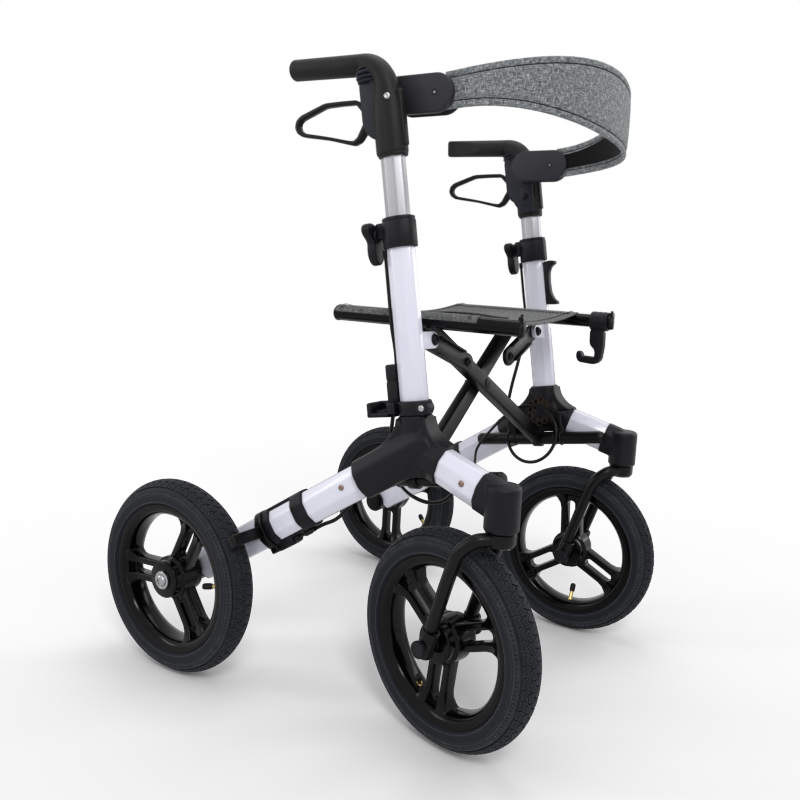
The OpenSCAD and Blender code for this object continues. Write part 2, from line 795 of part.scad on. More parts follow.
module lower_bar_piece() {
    wide = tube_w + 2 * knot_wall + 4;
    deep = tube_d + 2 * knot_wall + 4;
    color(black) difference() {
        leaning() {
            translate([bar_x, bar_l * 0.46, 0]) axis_w() cylinder(d = bar_d, h = bar_l);
            for (w = [-56, 34]) translate([bar_x, w, 0]) cube([up_x - bar_x - 4, 16, 44]);
        }
        leaning() translate([bar_x, bar_l, 0]) axis_w() cylinder(d = bar_d - 5, h = 2 * bar_l);
        for (q = [rear_end, house_mid]) along(knot, q) translate([0, 0, -20])
            linear_extrude(200) oblong(wide, deep);
    }
}

module link_piece() {
    color(black) leaning() translate([tab_x, link_w + link_t / 2, tab_v]) axis_w() {
        difference() {
            rotate(180 + link_drop) linear_extrude(link_t) strip([0, 0], [link_l, 0], 11.5);
            translate([0, 0, -1]) cylinder(r = 4, h = link_t + 2);
        }
        cylinder(r = 4, h = link_t + slide_gap + tab_t + 3);
        translate([0, 0, link_t + 2 * slide_gap + tab_t]) cylinder(r = 8, h = 4);
        rotate(180 + link_drop) translate([link_l - 4, 0, link_t]) cylinder(r = 7, h = 4);
    }
}

module rail_piece() {
    color(gloss) translate([rail_x, rail_rear, rail_z]) rotate([90, 0, 0]) {
        difference() {
            cylinder(d = rail_d, h = rail_rear + rail_front);
            translate([0, 0, -1]) cylinder(d = rail_d - 4, h = rail_rear + rail_front + 2);
        }
        for (z = [0, rail_rear + rail_front]) translate([0, 0, z == 0 ? -3 : z]) cylinder(d = rail_d + 1, h = 3);
    }
}

// Soft parts

// Height of the seat cloth's underside across the seat
function cloth_z(x) = rail_z + rail_d / 2 + slide_gap - seat_sag * (1 - pow(x / rail_x, 2));

module seat_piece() {
    n = 16;
    r = rail_d / 2 + slide_gap;
    run = [for (i = [0 : n]) -rail_x + 2 * rail_x * i / n];
    color(cloth) difference() {
        translate([0, rail_rear - 2, 0]) rotate([90, 0, 0]) linear_extrude(rail_rear + seat_front - 2) {
            polygon(concat([for (x = run) [x, cloth_z(x)]],
                [for (i = [n : -1 : 0]) [run[i], cloth_z(run[i]) + cloth_t]]));
            for (s = [-1, 1]) translate([s * rail_x, rail_z]) difference() {
                circle(r = r + cloth_t);
                circle(r = r);
            }
        }
        translate([-14, -rail_front / 2 - 10, rail_z - 60]) cube([28, 110, 120]);
        for (s = [-1, 1]) translate([s * rail_x - 24, notch_y - notch_l / 2, rail_z - 30])
            cube([48, notch_l, 30 + rail_d / 2 - 1]);
    }
}

notch_y = lean_point(0, 0, rail_v).y;
notch_l = 2 * (layer + brace_t / 2) + 6;
strap_x = up_x + bracket_x - strap_t / 2 - slide_gap;
// Middle of the strap's attachment on the handle of a side
function strap_end(side) = let (raise = side == "right" ? right_raise : left_raise,
    p = lean_point(0, up_w, collar_top + raise + bracket_z)) [0, p.y - bracket_l + 4, p.z + 10];

module strap_piece() {
    right = strap_end("right");
    left = strap_end("left");
    n = 36;
    stations = [for (i = [0 : n]) let (t = -90 + 180 * i / n, k = (1 + sin(t)) / 2, m = cos(t))
        [strap_x * sin(t), right.y * (1 - k) + left.y * k - strap_reach * pow(m, 0.9) + 14,
         right.z * (1 - k) + left.z * k - 6 + strap_rise * m, strap_end_h + (strap_mid_h - strap_end_h) * m, t]];
    color(cloth) skin([for (p = stations) let (nx = sin(p[4]), ny = -cos(p[4]),
        h = p[3] / 2, a = strap_t / 2)
        [for (q = [[-a, -h + 4], [-a + 3, -h], [a - 3, -h], [a, -h + 4], [a, h - 4], [a - 3, h], [-a + 3, h], [-a, h - 4]])
            [p[0] + nx * q.x, p[1] + ny * q.x, p[2] + q.y]]]);
}

// Accessories

// The cup leans outward, so that a stick in it stands clear of the brake lever
cup_tilt = 10;

module cup_piece() {
    d = tube_d + 10;
    w = tube_w + 10;
    v = knot_v + knot_up + 2;
    color(black) leaning() translate([up_x, up_w, v]) {
        difference() {
            union() {
                linear_extrude(24) oblong(w, d);
                translate([-16, tube_d / 2 + 2, 0]) cube([36, 46, 20]);
                translate([-9, tube_d / 2 + 2, 18]) cube([18, 14, 56]);
            }
            translate([0, 0, -1]) linear_extrude(80) oblong(tube_w, tube_d);
            translate([0, tube_d / 2 + 30, 4]) rotate([0, cup_tilt, 0]) cylinder(d = 24, h = 40);
        }
    }
}

module hook_piece() {
    y = -rail_front + 24;
    color(black) translate([rail_x, y, rail_z]) {
        rotate([90, 0, 0]) translate([0, 0, -10]) difference() {
            cylinder(d = rail_d + 10, h = 30);
            translate([0, 0, -1]) cylinder(d = rail_d, h = 32);
        }
        translate([-7, -20, -rail_d / 2 - 40]) cube([14, 26, 38]);
        translate([-7, -20, -rail_d / 2 - 66]) cube([14, 12, 28]);
        translate([-7, -20, -rail_d / 2 - 70]) cube([14, 44, 10]);
        translate([-7, 16, -rail_d / 2 - 70]) cube([14, 8, 22]);
        translate([rail_d / 2 + 4, 5, 0]) axis_x() cylinder(d = 16, h = 12);
    }
}

module clip_piece() {
    front = up_w - tube_d / 2;
    color(black) leaning() translate([up_x - 6, front - 22, upright_top - collar_h / 2 - 79]) {
        difference() {
            cube([12, 24, 80]);
            translate([-1, 8, 10]) cube([14, 10, 60]);
            translate([6, 22 + tube_d / 2, -10]) linear_extrude(120) oblong(tube_w, tube_d);
            translate([-1, 16, 22]) cube([14, 20, 36]);
        }
    }
}

// Nodes

on("right") upright_piece();  // right_upright
on("left") upright_piece();  // left_upright
on("right") knot_piece();  // right_frame_hub
on("left") knot_piece();  // left_frame_hub
on("right") front_leg_piece();  // right_front_leg
on("left") front_leg_piece();  // left_front_leg
on("right") rear_leg_piece();  // right_rear_leg
on("left") rear_leg_piece();  // left_rear_leg
on("right") house_piece();  // right_caster_housing
on("left") house_piece();  // left_caster_housing
on("right") fork_piece("right");  // right_fork
on("left") fork_piece("left");  // left_fork
on("right") front_wheel("right") color(gloss) rim_shape(right_front_spin);  // right_front_rim
on("left") front_wheel("left") color(gloss) rim_shape(left_front_spin);  // left_front_rim
on("right") front_wheel("right") color(rubber) tyre_shape();  // right_front_tyre
on("left") front_wheel("left") color(rubber) tyre_shape();  // left_front_tyre
on("right") front_axle_piece("right");  // right_front_axle
on("left") front_axle_piece("left");  // left_front_axle
on("right") rear_wheel() color(gloss) rim_shape(right_rear_spin);  // right_rear_rim
on("left") rear_wheel() color(gloss) rim_shape(left_rear_spin);  // left_rear_rim
on("right") rear_wheel() color(rubber) tyre_shape();  // right_rear_tyre
on("left") rear_wheel() color(rubber) tyre_shape();  // left_rear_tyre
on("right") rear_axle_piece();  // right_rear_axle
on("left") rear_axle_piece();  // left_rear_axle
on("right") brake_housing_piece();  // right_brake_housing
on("left") brake_housing_piece();  // left_brake_housing
on("right") brake_shoe_piece();  // right_brake_shoe
on("left") brake_shoe_piece();  // left_brake_shoe
on("right") collar_piece();  // right_collar
on("left") collar_piece();  // left_collar
on("right") knob_piece();  // right_collar_knob
on("left") knob_piece();  // left_collar_knob
on("right") inner_tube_piece("right");  // right_inner_tube
on("left") inner_tube_piece("left");  // left_inner_tube
on("right") handle_piece("right");  // right_handle
on("left") handle_piece("left");  // left_handle
on("right") grip_piece("right");  // right_grip
on("left") grip_piece("left");  // left_grip
on("right") lever_piece("right");  // right_brake_lever
on("left") lever_piece("left");  // left_brake_lever
on("right") bracket_piece("right");  // right_backrest_bracket
on("left") bracket_piece("left");  // left_backrest_bracket
on("right") lower_bar_piece();  // right_lower_bar
on("left") lower_bar_piece();  // left_lower_bar
on("right") link_piece();  // right_guide_link
on("left") link_piece();  // left_guide_link
on("right") cable_piece();  // right_brake_cable
on("left") cable_piece();  // left_brake_cable
on("right") rail_piece();  // right_seat_rail
on("left") rail_piece();  // left_seat_rail
on("right") screws_piece();  // right_tube_screws
on("left") screws_piece();  // left_tube_screws
brace_bar("right", false);  // rising_left_bar
brace_bar("left", true);  // rising_right_bar
pin_piece();  // brace_pin
seat_piece();  // seat_cloth
strap_piece();  // backrest_strap
on("right") cup_piece();  // cane_cup
on("left") hook_piece();  // bag_hook
on("left") clip_piece();  // accessory_clip
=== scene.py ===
import math

import bmesh
import bpy
from mathutils import Matrix, Vector, noise


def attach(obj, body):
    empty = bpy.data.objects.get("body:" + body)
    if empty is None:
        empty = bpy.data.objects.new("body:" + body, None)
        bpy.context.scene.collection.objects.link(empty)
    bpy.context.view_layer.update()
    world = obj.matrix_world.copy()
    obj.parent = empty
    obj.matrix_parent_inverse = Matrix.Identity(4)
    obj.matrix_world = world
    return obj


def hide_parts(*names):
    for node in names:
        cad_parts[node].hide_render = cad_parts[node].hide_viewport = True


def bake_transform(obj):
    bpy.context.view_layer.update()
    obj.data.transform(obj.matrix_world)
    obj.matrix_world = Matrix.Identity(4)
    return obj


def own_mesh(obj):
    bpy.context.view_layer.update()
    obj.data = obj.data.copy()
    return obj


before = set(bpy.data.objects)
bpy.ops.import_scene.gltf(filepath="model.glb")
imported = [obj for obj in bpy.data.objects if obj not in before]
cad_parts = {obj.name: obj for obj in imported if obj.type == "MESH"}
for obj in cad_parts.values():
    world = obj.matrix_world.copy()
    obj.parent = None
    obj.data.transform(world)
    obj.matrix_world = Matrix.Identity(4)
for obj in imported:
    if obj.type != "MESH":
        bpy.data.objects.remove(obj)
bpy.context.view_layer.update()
print("stage: frame loaded")

# Sizes shared by several pieces, in millimetres and degrees
sizes = {
    "tyreR": 152.0, "rearY": 222.5, "wheelX": 303.0, "stemX": 241.0, "trail": 80.0, "upX": 221.0,
    "lean": 9.5, "tubeW": 34.0, "tubeD": 49.0, "upW": 27.0, "upD": 39.5, "innerW": 23.5, "innerD": 34.5,
    "collarUp": 3.0, "knotY": -161.0, "knotZ": 403.0, "rearLegX": 256.0, "barY": -151.0, "barZ": 355.0,
    "barX": 195.0, "barD": 22.0, "barL": 242.0, "railX": 180.0, "railZ": 578.0, "railD": 22.0,
    "railFront": -283.0, "railRear": 18.0, "uprightTop": 340.0, "collarH": 42.0, "sleeveH": 88.0,
    "houseZ": 324.0, "houseH": 60.0, "houseR": 23.0, "knotUp": 48.0, "knotBack": 102.0, "knotFront": 48.0,
}
turns = {"right": 13.0, "left": 0.0}
raises = {"right": 84.0, "left": 42.0}
sides = ("right", "left")

stemY = -sizes["rearY"] - sizes["trail"]
knot = Vector((sizes["upX"], sizes["knotY"], sizes["knotZ"]))
rearEnd = Vector((sizes["rearLegX"], sizes["rearY"], sizes["tyreR"]))
houseMid = Vector((sizes["stemX"], stemY, sizes["houseZ"] + sizes["houseH"] / 2 + 5))
leanAngle = math.radians(sizes["lean"])
leanFrame = Matrix.Translation((0, sizes["barY"], sizes["barZ"])) @ Matrix.Rotation(-leanAngle, 4, "X")
leanBack = leanFrame.inverted()
upW = (leanBack @ knot).y
knotV = (leanBack @ knot).z
collarTop = sizes["uprightTop"] + sizes["collarH"] / 2 + sizes["collarUp"]


def leanPoint(x, w, v):
    return leanFrame @ Vector((x, w, v))


def shift(x, y, z):
    return Matrix.Translation((x, y, z))


def turn(angle, axis):
    return Matrix.Rotation(math.radians(angle), 4, axis)


def along(p, q):
    d = q - p
    level = Matrix.Rotation(math.atan2(d.x, -d.y), 4, "Z")
    return Matrix.Translation(p) @ level @ Matrix.Rotation(math.acos(d.z / d.length), 4, "X")


def onRearLeg(at):
    return along(knot, rearEnd) @ Matrix.Diagonal((-1, 1, 1, 1)) @ shift(0, 0, at)


def onUpright(v):
    return leanFrame @ shift(sizes["upX"], upW, v)


def onHandle(side):
    return onUpright(collarTop + raises[side])


def sideView(x):
    return shift(x, 0, 0) @ Matrix(((0, 0, 1, 0), (1, 0, 0, 0), (0, 1, 0, 0), (0, 0, 0, 1)))


alongX = turn(90, "Y")
level = turn(sizes["lean"], "X")


# Mesh helpers, all in millimetres

def loft(bm, rings, caps=(True, True), joined=False):
    first = [bm.verts.new(p) for p in rings[0]]
    row = first
    edges = [bm.edges.new((row[i - 1], row[i])) for i in range(len(row))]
    if caps[0] and not joined:
        bm.faces.new(row)
    for ring in rings[1:] + (rings[:1] if joined else []):
        made = bmesh.ops.extrude_edge_only(bm, edges=edges)["geom"]
        edges = [e for e in made if isinstance(e, bmesh.types.BMEdge)]
        order = {v: i for i, v in enumerate(row)}
        row = [None] * len(row)
        for v in made:
            if isinstance(v, bmesh.types.BMVert):
                for e in v.link_edges:
                    i = order.get(e.other_vert(v))
                    if i is not None:
                        row[i] = v
                        v.co = ring[i]
    if joined:
        bmesh.ops.remove_doubles(bm, verts=first + row, dist=0.001)
    elif caps[1]:
        bm.faces.new(row)


def absorb(bm, part, place=None):
    if place is not None:
        part.transform(place)
    spare = bpy.data.meshes.new("spare")
    part.to_mesh(spare)
    part.free()
    bm.from_mesh(spare)
    bpy.data.meshes.remove(spare)


def revolve(bm, profile, place, steps=48, joined=False):
    part = bmesh.new()
    verts = [part.verts.new((r, 0, h)) for r, h in profile]
    edges = [part.edges.new(pair) for pair in zip(verts, verts[1:] + (verts[:1] if joined else []))]
    bmesh.ops.spin(part, geom=verts + edges, cent=(0, 0, 0), axis=(0, 0, 1), dvec=(0, 0, 0),
                   angle=2 * math.pi, steps=steps, use_merge=True, use_duplicate=False)
    bmesh.ops.remove_doubles(part, verts=part.verts, dist=0.005)
    absorb(bm, part, place)


def bevelled(bm, width, segments=2, angle=25):
    sharp = [e for e in bm.edges if e.is_manifold and e.calc_face_angle(0) > math.radians(angle)]
    bmesh.ops.bevel(bm, geom=sharp, offset=width, offset_type="OFFSET", segments=segments, profile=0.5,
                    affect="EDGES", clamp_overlap=True, material=-1)


def plate(bm, outline, low, high, place, width=1.0, segments=2, angle=25):
    part = bmesh.new()
    face = part.faces.new([part.verts.new((x, y, low)) for x, y in outline])
    made = bmesh.ops.extrude_face_region(part, geom=[face])["geom"]
    moved = [v for v in made if isinstance(v, bmesh.types.BMVert)]
    bmesh.ops.translate(part, vec=(0, 0, high - low), verts=moved)
    bmesh.ops.recalc_face_normals(part, faces=part.faces)
    if width > 0:
        bevelled(part, width, segments, angle)
    absorb(bm, part, place)


def block(bm, low, high, place, width=1.5, segments=2):
    outline = [(low[0], low[1]), (high[0], low[1]), (high[0], high[1]), (low[0], high[1])]
    plate(bm, outline, low[2], high[2], place, width, segments)


def disc(bm, radius, low, high, place, width=0.8, steps=40):
    w = min(width, radius * 0.6, (high - low) * 0.45)
    k = 0.29 * w
    profile = [(0, low), (radius - w, low), (radius - k, low + k), (radius, low + w), (radius, high - w),
               (radius - k, high - k), (radius - w, high), (0, high)]
    revolve(bm, profile, place, steps)


def curved(a, p, b, t):
    return (1 - t) ** 2 * a + 2 * t * (1 - t) * p + t * t * b


def rounded(points, radius, steps=5):
    out = []
    count = len(points)
    for i in range(count):
        p = Vector(points[i])
        a = Vector(points[i - 1]) - p
        b = Vector(points[(i + 1) % count]) - p
        reach = min(radius, a.length * 0.48, b.length * 0.48)
        a = p + a.normalized() * reach
        b = p + b.normalized() * reach
        out += [tuple(curved(a, p, b, k / steps)) for k in range(steps + 1)]
    return out


def stadium(width, depth, steps=10):
    out = []
    for s, start in ((1, 0), (-1, 180)):
        for k in range(steps + 1):
            a = math.radians(start + 180 * k / steps)
            out.append((width / 2 * math.cos(a), s * (depth - width) / 2 + width / 2 * math.sin(a)))
    return out


def facetTube(width, depth, grow=0.0, radius=4.0, steps=4):
    w, d = width / 2 + grow, depth / 2 + grow
    a, b = 0.42 * d, 0.46 * w
    points = [(w, -a), (w, a), (b, d), (-b, d), (-w, a), (-w, -a), (-b, -d), (b, -d)]
    return rounded(points, radius, steps)


def legTube(grow, radius):
    return facetTube(sizes["tubeW"], sizes["tubeD"], grow, radius)


def uprightTube(grow, radius):
    return facetTube(sizes["upW"], sizes["upD"], grow, radius)


def roundRect(width, depth, radius=3.0, steps=4):
    w, d = width / 2, depth / 2
    return rounded([(w, -d), (w, d), (-w, d), (-w, -d)], radius, steps)


def sleeve(bm, outline, low, high, place, width=1.2):
    rings = []
    for h, g in ((low, -width), (low + 0.3 * width, -0.3 * width), (low + width, 0), (high - width, 0),
                 (high - 0.3 * width, -0.3 * width), (high, -width)):
        ring = []
        for x, y in outline:
            length = math.hypot(x, y)
            f = (length + g) / length
            ring.append(place @ Vector((x * f, y * f, h)))
        rings.append(ring)
    loft(bm, rings)


def smoothPath(points, steps=6, joined=False):
    p = [Vector(q) for q in points]
    count = len(p)
    out = []
    for i in range(count if joined else count - 1):
        if joined:
            a, b, c, d = p[i - 1], p[i], p[(i + 1) % count], p[(i + 2) % count]
        else:
            a, b, c, d = p[max(i - 1, 0)], p[i], p[i + 1], p[min(i + 2, count - 1)]
        for k in range(steps):
            t = k / steps
            out.append(0.5 * (2 * b + (c - a) * t + (2 * a - 5 * b + 4 * c - d) * t * t
                              + (3 * b - a - 3 * c + d) * t ** 3))
    if not joined:
        out.append(p[-1])
    return out


def sweep(bm, path, section, side, joined=False, caps=(True, True)):
    count = len(path)
    rings = []
    for i, p in enumerate(path):
        if joined:
            t = path[(i + 1) % count] - path[i - 1]
        else:
            t = path[min(i + 1, count - 1)] - path[max(i - 1, 0)]
        t.normalize()
        b = (side - t * side.dot(t)).normalized()
        n = t.cross(b)
        outline = section(i / (count - 1)) if callable(section) else section
        rings.append([p + b * x + n * y for x, y in outline])
    loft(bm, rings, caps, joined=joined)


def circle(radius, steps=20):
    return [(radius * math.cos(2 * math.pi * k / steps), radius * math.sin(2 * math.pi * k / steps))
            for k in range(steps)]


def arc(radius, start, stop, steps, x=0.0):
    angles = [math.radians(start + (stop - start) * k / steps) for k in range(steps + 1)]
    return [(x + radius * math.cos(a), radius * math.sin(a)) for a in angles]


def bothSides(half):
    return half + [(r, -h) for r, h in reversed(half)]


def spinCopies(part, count):
    geom = part.verts[:] + part.edges[:] + part.faces[:]
    bmesh.ops.spin(part, geom=geom, cent=(0, 0, 0), axis=(0, 0, 1), dvec=(0, 0, 0),
                   angle=2 * math.pi * (count - 1) / count, steps=count - 1, use_duplicate=True)


def newObject(name, data):
    made = bpy.data.objects.new(name, data)
    bpy.context.scene.collection.objects.link(made)
    return made


def fused(bm, voxel, steps):
    bmesh.ops.recalc_face_normals(bm, faces=bm.faces)
    mesh = bpy.data.meshes.new("fused")
    bm.to_mesh(mesh)
    bm.free()
    spare = newObject("fused", mesh)
    remesh = spare.modifiers.new("remesh", "REMESH")
    remesh.mode = "VOXEL"
    remesh.voxel_size = voxel
    soften = spare.modifiers.new("soften", "SMOOTH")
    soften.iterations = steps
    soften.factor = 0.5
    graph = bpy.context.evaluated_depsgraph_get()
    result = bpy.data.meshes.new_from_object(spare.evaluated_get(graph))
    out = bmesh.new()
    out.from_mesh(result)
    bpy.data.objects.remove(spare)
    bpy.data.meshes.remove(mesh)
    bpy.data.meshes.remove(result)
    return out


def makeMesh(name, bm, paints, mirrored=False, smooth=32):
    bm.transform(Matrix.Scale(0.001, 4))
    if mirrored:
        bm.transform(Matrix.Diagonal((-1, 1, 1, 1)))
    bmesh.ops.recalc_face_normals(bm, faces=bm.faces)
    mesh = bpy.data.meshes.new(name)
    bm.to_mesh(mesh)
    bm.free()
    for p in paints:
        mesh.materials.append(paint[p])
    mesh.shade_smooth()
    mesh.set_sharp_from_angle(angle=math.radians(smooth))
    return mesh


def addPiece(name, mesh, body, replaced=()):
    piece = newObject(name, mesh)
    if body:
        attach(piece, body)
    if replaced:
        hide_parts(*replaced)
    return piece


def dress(name, build, finish, body, nodes=(), only=sides, smooth=32):
    for side in only:
        bm = bmesh.new()
        build(bm, side)
        mesh = makeMesh(side + "_" + name, bm, [finish], side == "right", smooth)
        addPiece(side + "_" + name + "_look", mesh, side + "_" + body,
                 [side + "_" + n for n in nodes])


def dressOne(name, build, finish, body, nodes=(), mirrored=False, smooth=32):
    bm = bmesh.new()
    build(bm)
    return addPiece(name, makeMesh(name, bm, [finish], mirrored, smooth), body, nodes)


# Materials

def setInputs(tree, node, sockets):
    for key, value in sockets.items():
        if isinstance(value, bpy.types.NodeSocket):
            tree.links.new(value, node.inputs[key])
        else:
            node.inputs[key].default_value = value


def addNode(tree, kind, sockets=None, **settings):
    node = tree.nodes.new(kind)
    for key, value in settings.items():
        setattr(node, key, value)
    setInputs(tree, node, sockets or {})
    return node


def newGroup(name, inputs, outputs):
    tree = bpy.data.node_groups.new(name, "ShaderNodeTree")
    for label, kind, value in inputs:
        socket = tree.interface.new_socket(label, in_out="INPUT", socket_type=kind)
        socket.default_value = value
    for label, kind in outputs:
        tree.interface.new_socket(label, in_out="OUTPUT", socket_type=kind)
    return tree, addNode(tree, "NodeGroupInput"), addNode(tree, "NodeGroupOutput")


def makeGrain():
    tree, given, result = newGroup(
        "surfaceGrain",
        [("Scale", "NodeSocketFloat", 900.0), ("Depth", "NodeSocketFloat", 0.1),
         ("Roughness", "NodeSocketFloat", 0.5), ("Spread", "NodeSocketFloat", 0.1)],
        [("Normal", "NodeSocketVector"), ("Roughness", "NodeSocketFloat"), ("Cloud", "NodeSocketFloat")])
    place = addNode(tree, "ShaderNodeTexCoord")
    fine = addNode(tree, "ShaderNodeTexNoise", {"Vector": place.outputs["Object"],
                                                "Scale": given.outputs["Scale"], "Detail": 3.0,
                                                "Roughness": 0.6})
    cloud = addNode(tree, "ShaderNodeTexNoise", {"Vector": place.outputs["Object"], "Scale": 22.0,
                                                 "Detail": 4.0, "Roughness": 0.65})
    bump = addNode(tree, "ShaderNodeBump", {"Strength": given.outputs["Depth"], "Distance": 0.0006,
                                            "Height": fine.outputs["Fac"]})
    spread = addNode(tree, "ShaderNodeMath", {0: cloud.outputs["Fac"], 1: 0.5}, operation="SUBTRACT")
    scaled = addNode(tree, "ShaderNodeMath", {0: spread.outputs[0], 1: given.outputs["Spread"],
                                              2: given.outputs["Roughness"]}, operation="MULTIPLY_ADD")
    setInputs(tree, result, {"Normal": bump.outputs["Normal"], "Roughness": scaled.outputs[0],
                             "Cloud": cloud.outputs["Fac"]})
    return tree


# Edge mask from the Bevel node, broken up by noise: it lightens the edges, partly as wear and partly as a
# painted highlight along the edges in place of highlights caught by a chamfer.
def makeEdge():
    tree, given, result = newGroup(
        "edgeRubAndHighlight", [("Radius", "NodeSocketFloat", 0.001), ("Amount", "NodeSocketFloat", 0.3)],
        [("Mask", "NodeSocketFloat")])
    soft = addNode(tree, "ShaderNodeBevel", {"Radius": given.outputs["Radius"]}, samples=3)
    plain = addNode(tree, "ShaderNodeNewGeometry")
    match = addNode(tree, "ShaderNodeVectorMath", {0: soft.outputs["Normal"], 1: plain.outputs["Normal"]},
                    operation="DOT_PRODUCT")
    place = addNode(tree, "ShaderNodeTexCoord")
    patch = addNode(tree, "ShaderNodeTexNoise", {"Vector": place.outputs["Object"], "Scale": 70.0,
                                                 "Detail": 3.0})
    gap = addNode(tree, "ShaderNodeMapRange", {"Value": match.outputs["Value"], "From Min": 0.995,
                                               "From Max": 0.86, "To Min": 0.0, "To Max": 1.0})
    rubbedAndHighlit = addNode(tree, "ShaderNodeMath", {0: gap.outputs["Result"], 1: patch.outputs["Fac"]},
                   operation="MULTIPLY")
    mask = addNode(tree, "ShaderNodeMath", {0: rubbedAndHighlit.outputs[0], 1: given.outputs["Amount"]},
                   operation="MULTIPLY")
    setInputs(tree, result, {"Mask": mask.outputs[0]})
    return tree


grainGroup = makeGrain()
edgeGroup = makeEdge()


def newPaint(name):
    material = bpy.data.materials.new(name)
    material.use_nodes = True
    tree = material.node_tree
    return material, tree, tree.nodes["Principled BSDF"]


def useGroup(tree, group, **values):
    return addNode(tree, "ShaderNodeGroup", values, node_tree=group)


def solidPaint(name, v):
    material, tree, skin = newPaint(name)
    grain = useGroup(tree, grainGroup, Scale=v["scale"], Depth=v["depth"], Roughness=v["rough"],
                     Spread=v["spread"])
    # Edges are lightened towards the edge colour: part wear, part painted highlight.
    edge = useGroup(tree, edgeGroup, Radius=0.0012, Amount=v.get("wearAndHighlight", 0.3))
    low = [c * (1 - v["tint"]) for c in v["color"]]
    high = [min(c * (1 + v["tint"]), 1) for c in v["color"]]
    body = addNode(tree, "ShaderNodeMix", {"Factor": grain.outputs["Cloud"], "A": (*low, 1),
                                           "B": (*high, 1)}, data_type="RGBA")
    rubbedAndHighlit = addNode(tree, "ShaderNodeMix", {"Factor": edge.outputs["Mask"], "A": body.outputs["Result"],
                                           "B": (*v.get("edge", high), 1)}, data_type="RGBA")
    setInputs(tree, skin, {"Base Color": rubbedAndHighlit.outputs["Result"], "Normal": grain.outputs["Normal"],
                           "Roughness": grain.outputs["Roughness"], "Metallic": v.get("metal", 0.0),
                           "Coat Weight": v.get("coat", 0.0), "Coat Roughness": 0.08,
                           "Specular IOR Level": v.get("specular", 0.5),
                           "Sheen Weight": v.get("sheen", 0.0)})
    return material


# The edge colour and its amount lighten every edge, part wear and part painted highlight; the effect is
# strongest on the black gloss rims and the tyre treads.
finishes = {
    "white": {"color": (0.78, 0.78, 0.9), "rough": 0.26, "spread": 0.06, "scale": 260, "depth": 0.05,
              "tint": 0.02, "coat": 0.5, "edge": (0.86, 0.86, 0.94), "wearAndHighlight": 0.3},
    "plastic": {"color": (0.0048, 0.0049, 0.0074), "rough": 0.42, "spread": 0.16, "scale": 1500,
                "depth": 0.35, "tint": 0.25, "edge": (0.025, 0.025, 0.03), "wearAndHighlight": 0.6, "specular": 0.2},
    "gloss": {"color": (0.0012, 0.0012, 0.0015), "rough": 0.13, "spread": 0.08, "scale": 320, "depth": 0.04,
              "tint": 0.2, "edge": (0.05, 0.05, 0.056), "wearAndHighlight": 0.8, "specular": 0.15},
    "metal": {"color": (0.0026, 0.0025, 0.0031), "rough": 0.3, "spread": 0.12, "scale": 1100, "depth": 0.16,
              "tint": 0.2, "edge": (0.05, 0.048, 0.05), "wearAndHighlight": 0.7, "specular": 0.18},
    "tyre": {"color": (0.0095, 0.0107, 0.0145), "rough": 0.7, "spread": 0.2, "scale": 800, "depth": 0.3,
             "tint": 0.3, "edge": (0.14, 0.15, 0.17), "wearAndHighlight": 1.0, "sheen": 0.03, "specular": 0.18},
    "grip": {"color": (0.006, 0.0062, 0.0066), "rough": 0.5, "spread": 0.16, "scale": 1300, "depth": 0.28,
             "tint": 0.2, "edge": (0.025, 0.025, 0.025), "wearAndHighlight": 0.5, "specular": 0.22},
    "slate": {"color": (0.023, 0.0235, 0.029), "rough": 0.5, "spread": 0.16, "scale": 1500, "depth": 0.35,
              "tint": 0.2, "edge": (0.045, 0.045, 0.05), "wearAndHighlight": 0.6, "specular": 0.25},
    "navy": {"color": (0.0095, 0.0108, 0.0175), "rough": 0.46, "spread": 0.15, "scale": 1200, "depth": 0.3,
             "tint": 0.25, "edge": (0.03, 0.032, 0.042), "wearAndHighlight": 0.6, "specular": 0.22},
    "steel": {"color": (0.42, 0.42, 0.43), "rough": 0.28, "spread": 0.12, "scale": 900, "depth": 0.06,
              "tint": 0.12, "metal": 1.0, "edge": (0.7, 0.7, 0.7), "wearAndHighlight": 0.5},
    "copper": {"color": (0.25, 0.18, 0.14), "rough": 0.3, "spread": 0.12, "scale": 900, "depth": 0.06,
               "tint": 0.2, "metal": 1.0, "edge": (0.7, 0.5, 0.4), "wearAndHighlight": 0.4},
    "brass": {"color": (0.62, 0.45, 0.18), "rough": 0.28, "spread": 0.1, "scale": 900, "depth": 0.08,
              "tint": 0.15, "metal": 1.0, "edge": (0.8, 0.66, 0.36), "wearAndHighlight": 0.4},
    "amber": {"color": (0.022, 0.013, 0.008), "rough": 0.45, "spread": 0.12, "scale": 900, "depth": 0.2,
              "tint": 0.35, "edge": (0.07, 0.045, 0.03), "wearAndHighlight": 0.6, "specular": 0.22},
    "sheath": {"color": (0.003, 0.003, 0.0034), "rough": 0.3, "spread": 0.1, "scale": 1500, "depth": 0.12,
               "tint": 0.2, "edge": (0.015, 0.015, 0.015), "wearAndHighlight": 0.3, "specular": 0.22},
    # Near black: the real black of the strap panel and the seat's pull strap, and painted shade in the cane
    # cup's well and the bracket holes.
    "blackLiningAndShade": {"color": (0.003, 0.003, 0.0034), "rough": 0.85, "spread": 0.1, "scale": 2600, "depth": 0.7,
               "tint": 0.35, "edge": (0.01, 0.01, 0.01), "wearAndHighlight": 0.1, "sheen": 0.06, "specular": 0.12},
    "thread": {"color": (0.012, 0.0125, 0.015), "rough": 0.8, "spread": 0.1, "scale": 2600, "depth": 0.5,
               "tint": 0.3, "edge": (0.03, 0.03, 0.035), "wearAndHighlight": 0.2, "sheen": 0.06, "specular": 0.15},
}
paint = {name: solidPaint(name, values) for name, values in finishes.items()}


